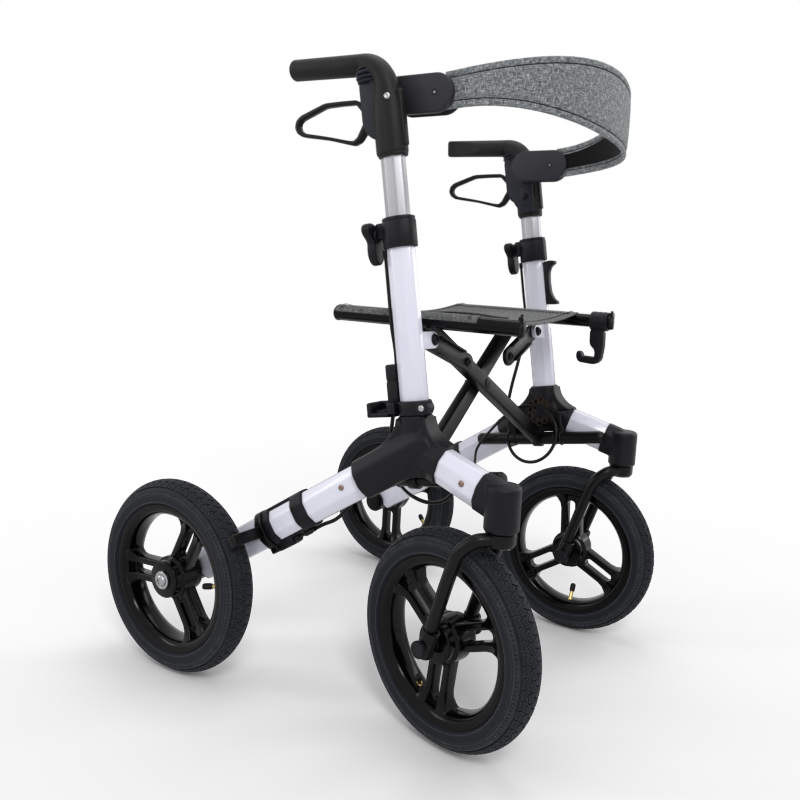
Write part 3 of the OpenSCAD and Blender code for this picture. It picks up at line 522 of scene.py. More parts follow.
def brushedPaint(name):
    material, tree, skin = newPaint(name)
    place = addNode(tree, "ShaderNodeTexCoord")
    fit = addNode(tree, "ShaderNodeMapping", {"Vector": place.outputs["Object"], "Scale": (1600, 1600, 9)})
    lines = addNode(tree, "ShaderNodeTexNoise", {"Vector": fit.outputs["Vector"], "Scale": 1.0,
                                                 "Detail": 4.0})
    tone = addNode(tree, "ShaderNodeValToRGB", {"Fac": lines.outputs["Fac"]})
    tone.color_ramp.elements[0].color = (0.34, 0.34, 0.36, 1)
    tone.color_ramp.elements[1].color = (0.43, 0.43, 0.455, 1)
    rough = addNode(tree, "ShaderNodeMapRange", {"Value": lines.outputs["Fac"], "To Min": 0.4,
                                                 "To Max": 0.52})
    bump = addNode(tree, "ShaderNodeBump", {"Strength": 0.05, "Distance": 0.0003,
                                            "Height": lines.outputs["Fac"]})
    setInputs(tree, skin, {"Base Color": tone.outputs["Color"], "Roughness": rough.outputs["Result"],
                           "Normal": bump.outputs["Normal"], "Metallic": 1.0})
    return material


def makeWeave():
    tree, given, result = newGroup(
        "melangeWeave", [("Thread", "NodeSocketFloat", 900.0), ("Depth", "NodeSocketFloat", 0.5)],
        [("Tone", "NodeSocketFloat"), ("Normal", "NodeSocketVector")])
    place = addNode(tree, "ShaderNodeUVMap", uv_map="cloth")
    streaks = []
    for stretch in ((1.0, 0.11, 1.0), (0.11, 1.0, 1.0)):
        fit = addNode(tree, "ShaderNodeVectorMath", {0: place.outputs["UV"], 1: stretch},
                      operation="MULTIPLY")
        streak = {"Vector": fit.outputs["Vector"], "Scale": given.outputs["Thread"], "Detail": 2.0,
                  "Roughness": 0.7}
        streaks.append(addNode(tree, "ShaderNodeTexNoise", streak))
    pick = addNode(tree, "ShaderNodeMix", {"Factor": 0.5, "A": streaks[0].outputs["Fac"],
                                           "B": streaks[1].outputs["Fac"]}, data_type="FLOAT")
    cloud = addNode(tree, "ShaderNodeTexNoise", {"Vector": place.outputs["UV"], "Scale": 210.0,
                                                 "Detail": 3.0})
    tone = addNode(tree, "ShaderNodeMath", {0: cloud.outputs["Fac"], 1: 0.25, 2: pick.outputs["Result"]},
                   operation="MULTIPLY_ADD")
    wave = []
    for axis in ("X", "Y"):
        bands = {"Vector": place.outputs["UV"], "Scale": 300.0, "Distortion": 1.2, "Detail": 1.0}
        wave.append(addNode(tree, "ShaderNodeTexWave", bands, bands_direction=axis))
    knit = addNode(tree, "ShaderNodeMath", {0: wave[0].outputs["Fac"], 1: wave[1].outputs["Fac"]},
                   operation="MAXIMUM")
    height = addNode(tree, "ShaderNodeMath", {0: pick.outputs["Result"], 1: 0.8, 2: knit.outputs[0]},
                     operation="MULTIPLY_ADD")
    bump = addNode(tree, "ShaderNodeBump", {"Strength": given.outputs["Depth"], "Distance": 0.0007,
                                            "Height": height.outputs[0]})
    setInputs(tree, result, {"Tone": tone.outputs[0], "Normal": bump.outputs["Normal"]})
    return tree


weaveGroup = makeWeave()


def clothPaint(name, dark, middle, light):
    material, tree, skin = newPaint(name)
    weave = useGroup(tree, weaveGroup, Thread=1050.0, Depth=0.5)
    tone = addNode(tree, "ShaderNodeValToRGB", {"Fac": weave.outputs["Tone"]})
    ramp = tone.color_ramp
    ramp.elements[0].position = 0.47
    ramp.elements[0].color = (*dark, 1)
    ramp.elements[1].position = 0.79
    ramp.elements[1].color = (*light, 1)
    ramp.elements.new(0.62).color = (*middle, 1)
    setInputs(tree, skin, {"Base Color": tone.outputs["Color"], "Normal": weave.outputs["Normal"],
                           "Roughness": 0.88, "Sheen Weight": 0.2, "Specular IOR Level": 0.2})
    return material


paint["silver"] = brushedPaint("silver")
paint["strapCloth"] = clothPaint("strapCloth", (0.03, 0.033, 0.036), (0.165, 0.177, 0.186),
                                 (0.6, 0.62, 0.635))
paint["seatCloth"] = clothPaint("seatCloth", (0.021, 0.022, 0.0225), (0.085, 0.088, 0.088),
                                (0.29, 0.295, 0.295))
print("stage: materials")

# Camera, floor and light

cameraLook = {"sensor": 36.0, "lens": 35.48, "shift": (-0.0273, -0.0387), "turns": (-58.34, 6.87, 3.07),
              "aim": (0, -0.0228, 0.48297), "away": 1.33037}
camera = bpy.data.cameras.new("photoCamera")
camera.sensor_width = cameraLook["sensor"]
camera.lens = cameraLook["lens"]
camera.shift_x, camera.shift_y = cameraLook["shift"]
cameraPiece = newObject("photoCamera", camera)
bpy.context.scene.camera = cameraPiece
azimuth, elevation, roll = (math.radians(a) for a in cameraLook["turns"])
backward = Vector((math.sin(azimuth) * math.cos(elevation), -math.cos(azimuth) * math.cos(elevation),
                   math.sin(elevation)))
rightward = Vector((math.cos(azimuth), math.sin(azimuth), 0))
upward = backward.cross(rightward)
rightward, upward = (rightward * math.cos(roll) + upward * math.sin(roll),
                     upward * math.cos(roll) - rightward * math.sin(roll))
basis = Matrix((rightward, upward, backward)).transposed().to_4x4()
eye = Vector(cameraLook["aim"]) + backward * cameraLook["away"]
cameraPiece.matrix_world = Matrix.Translation(eye) @ basis

floorLook = {"half": 9.0, "z": -0.0005, "tone": 0.9}
floorMesh = bpy.data.meshes.new("floor")
floorCorners = [(x * floorLook["half"], y * floorLook["half"], floorLook["z"])
                for x, y in ((-1, -1), (1, -1), (1, 1), (-1, 1))]
floorMesh.from_pydata(floorCorners, [], [(0, 1, 2, 3)])
floorPaint, floorTree, floorSkin = newPaint("floor")
setInputs(floorTree, floorSkin, {"Base Color": (*[floorLook["tone"]] * 3, 1), "Roughness": 0.7,
                                 "Specular IOR Level": 0.1})
floorMesh.materials.append(floorPaint)
floorPiece = newObject("floor", floorMesh)
floorPiece.is_shadow_catcher = True

world = bpy.data.worlds.new("studio")
world.use_nodes = True
bpy.context.scene.world = world
skyTree = world.node_tree
ambient = skyTree.nodes["Background"]
setInputs(skyTree, ambient, {"Color": (1, 1, 1, 1), "Strength": 0.5})
seen = addNode(skyTree, "ShaderNodeBackground", {"Color": (1, 1, 1, 1), "Strength": 1.0})
ray = addNode(skyTree, "ShaderNodeLightPath")
direct = addNode(skyTree, "ShaderNodeMath", {0: ray.outputs["Is Camera Ray"],
                                             1: ray.outputs["Is Glossy Ray"]}, operation="MAXIMUM")
direct = addNode(skyTree, "ShaderNodeMath", {0: direct.outputs[0], 1: ray.outputs["Is Transmission Ray"]},
                 operation="MAXIMUM")
both = addNode(skyTree, "ShaderNodeMixShader", {0: direct.outputs[0], 1: ambient.outputs[0],
                                                2: seen.outputs[0]})
setInputs(skyTree, skyTree.nodes["World Output"], {"Surface": both.outputs[0]})

for name, place, aim, size, power in (
        ("keyLight", (-1.9, -1.7, 2.5), (0, 0, 0.45), (0.8, 0.8), 33),
        ("fillLight", (-1.9, 2.3, 1.5), (0, 0, 0.4), (0.5, 1.8), 13),
        ("rimLight", (2.05, -1.28, 1.5), (0, 0, 0.5), (0.8, 1.8), 14),
        ("topLight", (0.2, 0.1, 2.9), (0, 0, 0.3), (1.6, 1.6), 18)):
    lamp = bpy.data.lights.new(name, "AREA")
    lamp.shape = "RECTANGLE"
    lamp.size, lamp.size_y = size
    lamp.energy = power
    lampPiece = newObject(name, lamp)
    lampPiece.location = place
    lampPiece.rotation_euler = (Vector(aim) - Vector(place)).to_track_quat("-Z", "Y").to_euler()
bpy.context.scene.view_settings.view_transform = "Standard"
print("stage: camera, floor and light")

# Wheels: the axle runs along the local Z axis, and spoke 0 along the local X axis

wheelLook = {"mid": 127.0, "half": 25.0, "blocks": 60, "groove": 2.8, "cut": 1.4, "notches": 150,
             "zig": 2.1, "bend": 3.4, "strips": (-22.0, -11.0, 0.0, 11.0, 22.0), "valveTilt": 32.0}
valveTurns = {"right_front": 142.0}
wheelSpins = {"right_front": 157.0, "right_rear": -4.0, "left_front": 87.0, "left_rear": 30.0}


def atStem(side):
    return shift(sizes["stemX"], stemY, 0) @ turn(turns[side], "Z")


def wheelPlace(side, end):
    if end == "rear":
        place = shift(sizes["wheelX"], sizes["rearY"], sizes["tyreR"])
    else:
        place = atStem(side) @ shift(0, sizes["trail"], sizes["tyreR"])
    return place @ alongX @ turn(90 + wheelSpins[side + "_" + end], "Z")


def onTyre(angle, rise):
    a = math.radians(angle)
    reach = wheelLook["half"] + rise
    return wheelLook["mid"] + reach * math.cos(a), reach * math.sin(a)


def tyreShape():
    v = wheelLook
    bm = bmesh.new()
    floor = -v["groove"]
    side = [onTyre(a, r) for a, r in (
        (117, -3.0), (112, -0.6), (108, 0), (106.5, 0.8), (105, 0.8), (103.5, 0), (98, 0), (90, 0), (84, 0),
        (82.4, 0.5), (81, 0.5), (79.6, 0), (76, 0), (75, 0.7), (72.5, 0.7), (71.5, 0), (66, 0), (61.5, 0),
        (60, 1.1), (56.5, 1.1), (54.5, 0), (52, floor), (40, floor), (26, floor), (13, floor), (0, floor))]
    profile = side + [(r, -h) for r, h in reversed(side[:-1])] + [(112, -15), (112, 15)]
    revolve(bm, profile, Matrix(), 120, True)
    blocks = bmesh.new()
    pitch = 2 * math.pi * sizes["tyreR"] / v["blocks"]
    for low, high in zip(v["strips"], v["strips"][1:]):
        for p in bmesh.ops.create_grid(blocks, x_segments=4, y_segments=2, size=1.0)["verts"]:
            u, s = (p.co.x + 1) / 2, (p.co.y + 1) / 2
            wave = v["zig"] * (1 - 4 * abs(u - 0.5))
            a = low + v["cut"] + (wave if low > -20 else 0)
            b = high - v["cut"] + (wave if high < 20 else 0)
            across = a + (b - a) * s
            p.co = ((u - 0.5) * (pitch - 2 * v["cut"]) + v["bend"] * math.sin(math.pi * across / 11),
                    across, floor - 0.4)
    made = bmesh.ops.extrude_face_region(blocks, geom=blocks.faces[:])["geom"]
    for p in made:
        if isinstance(p, bmesh.types.BMVert):
            p.co.z = 0
    for p in blocks.verts:
        r, h = onTyre(math.degrees(p.co.y / v["half"]), p.co.z)
        a = p.co.x / sizes["tyreR"]
        p.co = (r * math.cos(a), r * math.sin(a), h)
    spinCopies(blocks, v["blocks"])
    absorb(bm, blocks)
    notches = bmesh.new()
    for s in (1, -1):
        for p in bmesh.ops.create_cube(notches, size=1.0)["verts"]:
            r, h = onTyre(64.5 + 6.5 * p.co.z, 0.2 + 1.3 * p.co.x)
            p.co = (r, 2.2 * p.co.y, s * h)
    spinCopies(notches, v["notches"])
    absorb(bm, notches)
    return bm


def rimShape():
    bm = bmesh.new()
    side = [(117, 20), (116, 21), (110.5, 21.3), (108.8, 20.6), (107, 20.4), (103.5, 18), (100.5, 13.5),
            (98.8, 7)]
    profile = bothSides(side) + [(117, -16.5), (108.5, -11), (108.5, 11), (117, 16.5)]
    revolve(bm, profile, Matrix(), 120, True)
    half = [(6.2, 27), (26.4, 27), (27.6, 26.6), (28.4, 25.6), (28.6, 24), (28.8, 15), (31.5, 13.6),
            (33, 12)]
    revolve(bm, bothSides(half), Matrix(), 72, True)
    stations = ((20, 13.5, 5.5, 10), (40, 13.5, 5.3, 9.6), (74, 13.5, 5.3, 9.6), (84, 14.3, 6, 10.5),
                (93, 17, 8, 13), (100.5, 21.5, 11, 16.5))
    for k in range(3):
        spoke = turn(120 * k, "Z")
        for s in (1, -1):
            loft(bm, [[spoke @ Vector((x, s * y + a, b)) for a, b in roundRect(2 * w, 2 * d, 2.6, 3)]
                      for x, y, w, d in stations])
        plate(bm, [(101, 16)] + arc(8, 90, -90, 12, 82) + [(101, -16)], -6.5, 6.5, spoke, 0.8, 1, 40)
        plate(bm, [(24, 12)] + arc(8, 90, 270, 12, 43) + [(24, -12)], -7.5, 7.5, spoke, 0.8, 1, 40)
    return bm


def valveShape(cap, at):
    bm = bmesh.new()
    inward = turn(at, "Z") @ shift(99, 0, 0) @ turn(-90 + wheelLook["valveTilt"], "Y")
    if cap:
        revolve(bm, [(0, 14), (3.4, 14), (3.9, 15), (3.9, 27), (3.2, 28.5), (0, 28.5)], inward, 20)
        for k in range(10):
            block(bm, (3.5, -0.5, 16), (4.4, 0.5, 26.5), inward @ turn(36 * k, "Z"), 0.2, 1)
    else:
        revolve(bm, [(0, -2), (4.5, -2), (4.5, 1.5), (2.9, 2.2), (2.9, 12), (2.3, 12.5), (2.3, 14.5),
                     (0, 14.5)], inward, 20)
    return bm


tyreModel = tyreShape()
rimModel = rimShape()
for part, finish, slotName, build, replaced in (
        ("tyre", "tyre", "tyre", lambda at: tyreModel.copy(), True),
        ("rim", "gloss", "gloss_rim", lambda at: rimModel.copy(), True),
        ("valve", "brass", "axle_steel", lambda at: valveShape(False, at), False),
        ("valve_cap", "plastic", "black_plastic", lambda at: valveShape(True, at), False)):
    for side in sides:
        for end in ("front", "rear"):
            copy = build(valveTurns.get(side + "_" + end, 180.0))
            copy.transform(wheelPlace(side, end))
            name = side + "_" + end + "_" + part
            mesh = makeMesh(name, copy, [finish], side == "right", 38)
            body = side + "_" + end + "_wheel"
            addPiece(name + "_look", mesh, body, [name] if replaced else ())
print("stage: wheels")

# Axles and forks

forkLook = {"armX": 41.0, "armR": 9.0, "crownZ": 314.7, "dropTilt": 18.0, "dropR": 12.2}


def buttonHead(bm, radius, height, place, socket=0.45, steps=32):
    r, h = radius, height
    s = r * socket
    revolve(bm, [(0, h * 0.35), (s * 0.8, h * 0.35), (s, h * 0.45), (s * 1.02, h), (r * 0.62, h * 0.98),
                 (r * 0.85, h * 0.74), (r * 0.97, h * 0.4), (r, 0), (0, -0.5)], place, steps)


def forkShape(bm, side):
    v = forkLook
    place = atStem(side)
    top = v["crownZ"]
    revolve(bm, [(0, top - 11), (14, top - 11), (18, top - 9), (20, top - 5), (20, top + 7.5),
                 (18.5, top + 9), (8, top + 9), (8, 368), (0, 368)], place, 48)
    for s in (1, -1):
        points = [(s * 6, -2, top - 1), (s * 20, 5, top), (s * 33, 16, top - 3),
                  (s * v["armX"], 34, top - 22), (s * v["armX"], 48, top - 58),
                  (s * v["armX"], 61, top - 98), (s * v["armX"], 74, 178)]
        path = [place @ p for p in smoothPath(points, 7)]
        sweep(bm, path, circle(v["armR"], 24), place.to_3x3() @ Vector((1, 0, 0.2)))
        drop = place @ shift(s * v["armX"], sizes["trail"], sizes["tyreR"]) @ turn(v["dropTilt"], "X")
        r = v["dropR"]
        revolve(bm, [(0, -15), (r - 4, -15), (r - 1, -13.5), (r, -11), (r, 24), (r - 0.5, 25.4),
                     (r - 1.6, 26), (9, 26), (9, 22), (0, 22)], drop, 36)


def crownBolt(bm, side):
    place = atStem(side) @ shift(0, -13, forkLook["crownZ"] - 7) @ turn(118, "X")
    buttonHead(bm, 5, 4, place)


axleLook = {"shaftR": 5.95, "capR": 11.0, "ribs": 28, "near": 275.7, "far": 330.3, "bolt": 331.5,
            "boltR": 9.6}


def axleShape(bm, side):
    place = atStem(side) @ shift(0, sizes["trail"], sizes["tyreR"])
    cap = axleLook["capR"]
    for s in (0, 180):
        outer = place @ turn(s, "Z") @ alongX
        revolve(bm, [(0, 30), (9.6, 30), (10, 31), (10, 28.6), (6, 28.6)], outer, 32)
        disc(bm, 10, 27.4, 30, outer, 0.6)
        disc(bm, 10.2, 52.2, 54.5, outer, 0.5)
        revolve(bm, [(6, 20), (6, 54), (cap - 0.4, 54), (cap, 54.6), (cap, 59), (cap - 0.6, 60), (8.6, 60),
                     (8.2, 59.3), (0, 59.3)], outer, 40)
        for k in range(axleLook["ribs"]):
            rib = outer @ turn(360 / axleLook["ribs"] * k, "Z")
            block(bm, (cap - 0.3, -0.5, 54.8), (cap + 0.5, 0.5, 58.8), rib, 0.25, 1)
    shaft = axleLook["shaftR"]
    revolve(bm, [(0, -40), (shaft, -40), (shaft, 40), (0, 40)], place @ alongX, 32)


def rearAxleShape(bm, side):
    place = shift(0, sizes["rearY"], sizes["tyreR"]) @ alongX
    near, far, shaft = axleLook["near"], axleLook["far"], axleLook["shaftR"]
    revolve(bm, [(0, 226), (12, 226), (15, 227), (16, 229), (16, 232), (20, 232), (20, 248), (19.2, 249),
                 (19.2, 263), (20, 264), (20, near - 1.5), (18.5, near), (shaft, near), (shaft, far),
                 (15.6, far), (16, far + 0.4), (16, far + 1.0), (15.4, far + 1.4), (0, far + 1.4)],
            place, 56)


def rearBolt(bm, side):
    place = shift(axleLook["bolt"], sizes["rearY"], sizes["tyreR"]) @ alongX
    revolve(bm, [(0, 0), (13.4, 0), (14, 0.6), (14, 1.8), (13.2, 2.6), (11.4, 2.6), (10.8, 2.0), (0, 2.0)],
            place, 40)
    buttonHead(bm, axleLook["boltR"], 4.8, place @ shift(0, 0, 2), 0.5, 40)


dress("fork", forkShape, "metal", "fork", ["fork"])
dress("crown_bolt", crownBolt, "steel", "fork")
dress("front_axle", axleShape, "plastic", "fork", ["front_axle"])
dress("rear_axle", rearAxleShape, "gloss", "frame", ["rear_axle"])
dress("rear_bolt", rearBolt, "steel", "frame")
print("stage: axles and forks")

# Side frame: white tubes, hub and caster housing

tubeLook = {"tab": 12.0, "tabL": 34.0, "tabT": 7.0, "tabV": 194.0, "tabX": 178.0, "tabW": -28.8,
            "frontUp": 1.0, "rearUp": 3.0, "frontScrew": 44.0, "rearScrew": 29.0, "screwR": 4.4}
whiteTube = legTube(0, 2.6)
frontReach = (houseMid - knot).length
rearReach = (rearEnd - knot).length


def uprightShape(bm, side):
    v = tubeLook
    sleeve(bm, uprightTube(0, 2.4), knotV + 20, sizes["uprightTop"], onUpright(0), 0.8)
    place = leanFrame @ shift(v["tabX"], v["tabW"], v["tabV"]) @ turn(90, "X")
    outline = arc(v["tab"], 90, 270, 15) + [(v["tabL"], -v["tab"]), (v["tabL"], v["tab"])]
    plate(bm, outline, -v["tabT"] / 2, v["tabT"] / 2, place, 0.9, 2, 40)


def frontLegShape(bm, side):
    sleeve(bm, whiteTube, sizes["knotFront"] - 20, frontReach - sizes["houseR"], along(knot, houseMid), 0.8)


def rearLegShape(bm, side):
    sleeve(bm, whiteTube, sizes["knotBack"] - 20, rearReach - 14, along(knot, rearEnd), 0.8)


def tubeScrews(bm, side):
    v = tubeLook
    places = [along(knot, houseMid) @ shift(0, v["frontUp"], sizes["knotFront"] + v["frontScrew"]),
              onRearLeg(sizes["knotBack"] + v["rearScrew"]) @ shift(0, v["rearUp"], 0)]
    for place in places:
        outer = place @ shift(sizes["tubeW"] / 2, 0, 0) @ alongX
        buttonHead(bm, v["screwR"], 2.2, outer @ shift(0, 0, -0.1), 0.5, 28)


hubLook = {"wall": 4.0, "voxel": 1.5, "soften": 4, "cellsX": 18.0, "cellsR": 27.0, "pitchX": 11.2,
           "pitchY": 9.7}


def wedge(bm, place, a, b, reachA, reachB, highA, highB, half):
    bisect = (a + b).normalized()
    outA = (bisect - a * bisect.dot(a)).normalized()
    outB = (bisect - b * bisect.dot(b)).normalized()
    det = outA.cross(outB)
    tip = Vector((highA * outB.y - highB * outA.y, outA.x * highB - outB.x * highA)) / det
    ends = [a * reachA + outA * highA, b * reachB + outB * highB]
    curve = [curved(ends[0], tip, ends[1], k / 10) for k in range(11)]
    plate(bm, [(0, 0)] + [(p.x, p.y) for p in curve], -half, half, place, 5, 3)


def hubShape(bm, side):
    wall = hubLook["wall"]
    part = bmesh.new()
    up = leanPoint(sizes["upX"], upW, knotV + 200)
    sleeve(part, uprightTube(wall, 5), -18, sizes["knotUp"], along(knot, up), 1.5)
    legSleeve = legTube(wall - 1, 5)
    sleeve(part, legSleeve, -16, sizes["knotFront"], along(knot, houseMid), 1.5)
    pill = along(knot, rearEnd) @ shift(-3, 0, 0)
    outline = legTube(wall + 0.6, 6)
    rings = []
    last = sizes["knotBack"]
    for z, f, g in ((-29, 0.3, 0.86), (-27.5, 0.54, 0.93), (-23, 0.78, 0.98), (-15, 0.94, 1), (-6, 1.0, 1),
                    (20, 1.0, 1), (last - 1.5, 0.99, 0.99), (last, 0.95, 0.95)):
        rings.append([pill @ Vector((x * g, y * f, z)) for x, y in outline])
    loft(part, rings)
    flat = [Vector((d.y, d.z)).normalized() for d in (up - knot, rearEnd - knot, houseMid - knot)]
    high = (sizes["upD"] / 2 + wall, sizes["tubeD"] / 2 + wall - 1, sizes["tubeD"] / 2 + wall - 2)
    for a, b, reachA, reachB, shiftX, half in ((0, 1, 46, 84, 0, 15.5), (0, 2, 46, 44, 1, 16.5),
                                               (2, 1, 30, 66, 3, 15)):
        view = shift(0, knot.y, knot.z) @ sideView(knot.x + shiftX)
        wedge(part, view, flat[a], flat[b], reachA, reachB, high[a], high[b], half)
    absorb(bm, fused(part, hubLook["voxel"], hubLook["soften"]))


def hubCells(bm, side):
    v = hubLook
    place = shift(sizes["upX"] - v["cellsX"], knot.y + 4, knot.z + 2) @ turn(-90, "Y")
    for i in range(-3, 4):
        for k in range(-3, 4):
            x, y = (i + 0.5 * (k % 2)) * v["pitchX"], k * v["pitchY"]
            if math.hypot(x, y) < v["cellsR"]:
                cell = place @ shift(x, y, 0) @ turn(30, "Z")
                revolve(bm, [(4.2, -3), (4.2, 1.8), (6.2, 1.8), (6.2, -3)], cell, 6, True)


houseLook = {"voxel": 1.3, "soften": 3, "cap": 4.0, "arm": 13.0}


def houseShape(bm, side):
    part = bmesh.new()
    place = shift(sizes["stemX"], stemY, sizes["houseZ"])
    r, h, c = sizes["houseR"], sizes["houseH"], houseLook["cap"]
    revolve(part, [(0, 0.5), (r - 2, 0.5), (r - 0.5, 1.5), (r, 3), (r, h - c), (r - 0.5, h - 0.6 * c),
                   (r - 2.6, h - 0.1 * c), (r - 5, h + 0.3), (0, h + 1.2)], place, 48)
    arm = along(houseMid, knot)
    outline = legTube(2.0, 5)
    rings = []
    armEnd = sizes["houseR"] + houseLook["arm"]
    for z, f in ((-6, 0.84), (4, 0.94), (14, 1.0), (armEnd - 1.6, 1.0), (armEnd, 0.97)):
        rings.append([arm @ Vector((x * f, y * f, z)) for x, y in outline])
    loft(part, rings)
    absorb(bm, fused(part, houseLook["voxel"], houseLook["soften"]))


dress("upright", uprightShape, "white", "frame", ["upright"])
dress("front_leg", frontLegShape, "white", "frame", ["front_leg"])
dress("rear_leg", rearLegShape, "white", "frame", ["rear_leg"])
dress("tube_screws", tubeScrews, "copper", "frame", ["tube_screws"])
dress("frame_hub", hubShape, "plastic", "frame", ["frame_hub"], smooth=50)
dress("hub_cells", hubCells, "amber", "frame")
dress("caster_housing", houseShape, "plastic", "frame", ["caster_housing"], smooth=50)
print("stage: side frames")

# Brakes on the rear legs

brakeLook = {"start": 205.0, "band": 24.0, "window": 46.0, "wall": 3.6, "shoeW": 14.0, "drop": 31.0}
shoeHome = rearReach - sizes["tyreR"] - 4 - brakeLook["shoeW"]
legPitch = math.degrees(math.atan2(knot.z - rearEnd.z, rearEnd.y - knot.y))


def brakeHousingShape(bm, side):
    v = brakeLook
    last = shoeHome - 2.3 - v["start"]
    outer = legTube(v["wall"], 5)
    sleeve(bm, outer, 0, v["band"], onRearLeg(v["start"]), 1.4)
    sleeve(bm, outer, v["band"] + v["window"], last, onRearLeg(v["start"]), 1.4)
    inner = legTube(0.1, 4)
    turnBy = len(outer) // 2
    back = [p for p in outer[turnBy // 2:] + outer[:turnBy // 2] if p[0] < 10]
    front = [p for p in inner[turnBy // 2:] + inner[:turnBy // 2] if p[0] < 10]
    plate(bm, back + front[::-1], v["band"] - 2, v["band"] + v["window"] + 2, onRearLeg(v["start"]), 0)
    block(bm, (-10, -v["drop"] - 7, last - 30), (10, -v["drop"] + 7, last), onRearLeg(v["start"]), 2.5, 3)
    disc(bm, 6.5, last - 40, last - 29, onRearLeg(v["start"]) @ shift(0, -v["drop"], 0), 1.5)


def brakeShoeShape(bm, side):
    v = brakeLook
    place = onRearLeg(shoeHome)
    sleeve(bm, legTube(4.6, 6), 0, v["shoeW"], place, 1.6)
    block(bm, (-9, -v["drop"] - 6, 0), (9, -sizes["tubeD"] / 2 + 2, v["shoeW"]), place, 2.4, 3)
    disc(bm, 4, -24, 1, place @ shift(0, -v["drop"], 0), 0.4)
    inward = sizes["wheelX"] - sizes["rearLegX"] - sizes["tubeW"] / 2 + 10
    bar = shift(sizes["wheelX"], sizes["rearY"], sizes["tyreR"]) @ turn(90 - legPitch, "X")
    reach = sizes["tyreR"] + 4
    block(bm, (-inward, -9, reach), (20, 9, reach + v["shoeW"]), bar, 2, 3)


dress("brake_housing", brakeHousingShape, "plastic", "frame", ["brake_housing"])
dress("brake_shoe", brakeShoeShape, "metal", "shoe", ["brake_shoe"])
print("stage: brakes")

# Collars and height tubes

collarLook = {"wall": 4.6, "knobY": 34.3, "lobes": ((90, 25.0), (210, 11.0), (330, 11.0))}


def collarShape(bm, side):
    h = sizes["collarH"]
    place = onUpright(sizes["uprightTop"] + sizes["collarUp"] - h / 2)
    wall = collarLook["wall"]
    sleeve(bm, uprightTube(wall, 6), 0, h - 5, place, 1.6)
    sleeve(bm, uprightTube(wall - 0.7, 6), h - 6, h, place, 1.8)
    back = sizes["upD"] / 2 + wall
    block(bm, (-8, back - 6, 15), (8, collarLook["knobY"] - 0.3, h - 5), place, 2.2, 3)
    block(bm, (-9.5, back - 6, 12), (-2, collarLook["knobY"] - 3, h - 3), place, 1.5)


def knobShape(bm, side):
    v = collarLook
    place = onUpright(sizes["uprightTop"] + sizes["collarUp"]) @ shift(0, v["knobY"], 0) @ turn(-90, "X")
    revolve(bm, [(0, -11), (4, -11), (4, 0), (9, 0), (10, 1), (10, 13), (9, 14.4), (8, 14.6), (7.4, 17),
                 (5.5, 18), (0, 18)], place, 36)
    outline = []
    for k in range(72):
        r = 15.0
        for centre, reach in v["lobes"]:
            off = (5 * k - centre + 180) % 360 - 180
            if abs(off) < 60:
                r += reach * (0.5 + 0.5 * math.cos(math.radians(3 * off))) ** 1.2
        outline.append((r * math.cos(math.radians(5 * k)), r * math.sin(math.radians(5 * k))))
    plate(bm, outline, 1, 14, place, 3, 3, 40)


def innerTubeShape(bm, side):
    high = collarTop + raises[side] + sizes["sleeveH"] - 8
    sleeve(bm, facetTube(sizes["innerW"], sizes["innerD"], 0, 2.2, 4), sizes["uprightTop"] - 150, high,
           onUpright(0), 0.6)


dress("collar", collarShape, "plastic", "frame", ["collar"])
dress("collar_knob", knobShape, "plastic", "knob", ["collar_knob"])
dress("inner_tube", innerTubeShape, "silver", "handle", ["inner_tube"])

# Handles with grip, lever and backrest bracket

handleLook = {"gripR": 15.0, "gripL": 124.0, "bendR": 42.0, "bendTurn": 79.0, "sleeveW": 34.0,
              "sleeveD": 46.0, "pinY": 41.0, "pinZ": 52.0, "scoop": 9.0, "bracketZ": 84.0, "bracketR": 26.0,
              "bracketL": 90.0, "screwY": 64.0}


def mixSection(a, b, f):
    return [(p[0] + (q[0] - p[0]) * f, p[1] + (q[1] - p[1]) * f) for p, q in zip(a, b)]


def evenSection(outline, steps=40):
    out = []
    for k in range(steps):
        d = Vector((math.cos(2 * math.pi * k / steps), math.sin(2 * math.pi * k / steps)))
        reach = 0.0
        for p, q in zip(outline, outline[1:] + outline[:1]):
            p = Vector(p)
            e = Vector(q) - p
            det = d.cross(e)
            if abs(det) > 1e-9:
                t = p.cross(e) / det
                s = (d * t - p).dot(e) / e.length_squared
                if -1e-6 <= s <= 1 + 1e-6:
                    reach = max(reach, t)
        out.append((d.x * reach, d.y * reach))
    return out


def bendPlace(side, angle):
    r = handleLook["bendR"]
    return onHandle(side) @ shift(0, r, sizes["sleeveH"]) @ turn(-angle, "X") @ shift(0, -r, 0)


def handleShape(bm, side):
    v = handleLook
    place = onHandle(side)
    wide = evenSection(stadium(v["sleeveW"], v["sleeveD"]))
    tube = circle(v["gripR"] + 1, 40)
    rings = []
    high = sizes["sleeveH"]
    for z, f, g in ((0, 0, 0.93), (0.6, 0, 0.965), (2, 0, 0.99), (5, 0, 1), (high * 0.5, 0.0, 1),
                    (high * 0.72, 0.12, 1), (high * 0.88, 0.42, 1), (high, 0.75, 1)):
        rings.append([place @ Vector((x * g, y * g, z)) for x, y in mixSection(wide, tube, f)])
    for k in range(1, 15):
        f = min(0.75 + 0.25 * k / 5, 1)
        g = 1 - 0.045 * max(k - 9, 0) / 5
        centre = bendPlace(side, v["bendTurn"] * k / 14)
        rings.append([centre @ Vector((x * g, y * g, 0)) for x, y in mixSection(wide, tube, f)])
    loft(bm, rings)
    sleeve(bm, stadium(v["sleeveW"] - 3, v["sleeveD"] - 3), -3, 2, place @ shift(0, -0.8, 0), 1)
    block(bm, (-6, -25.2, 9), (6, -18, 84), place, 2.2, 3)


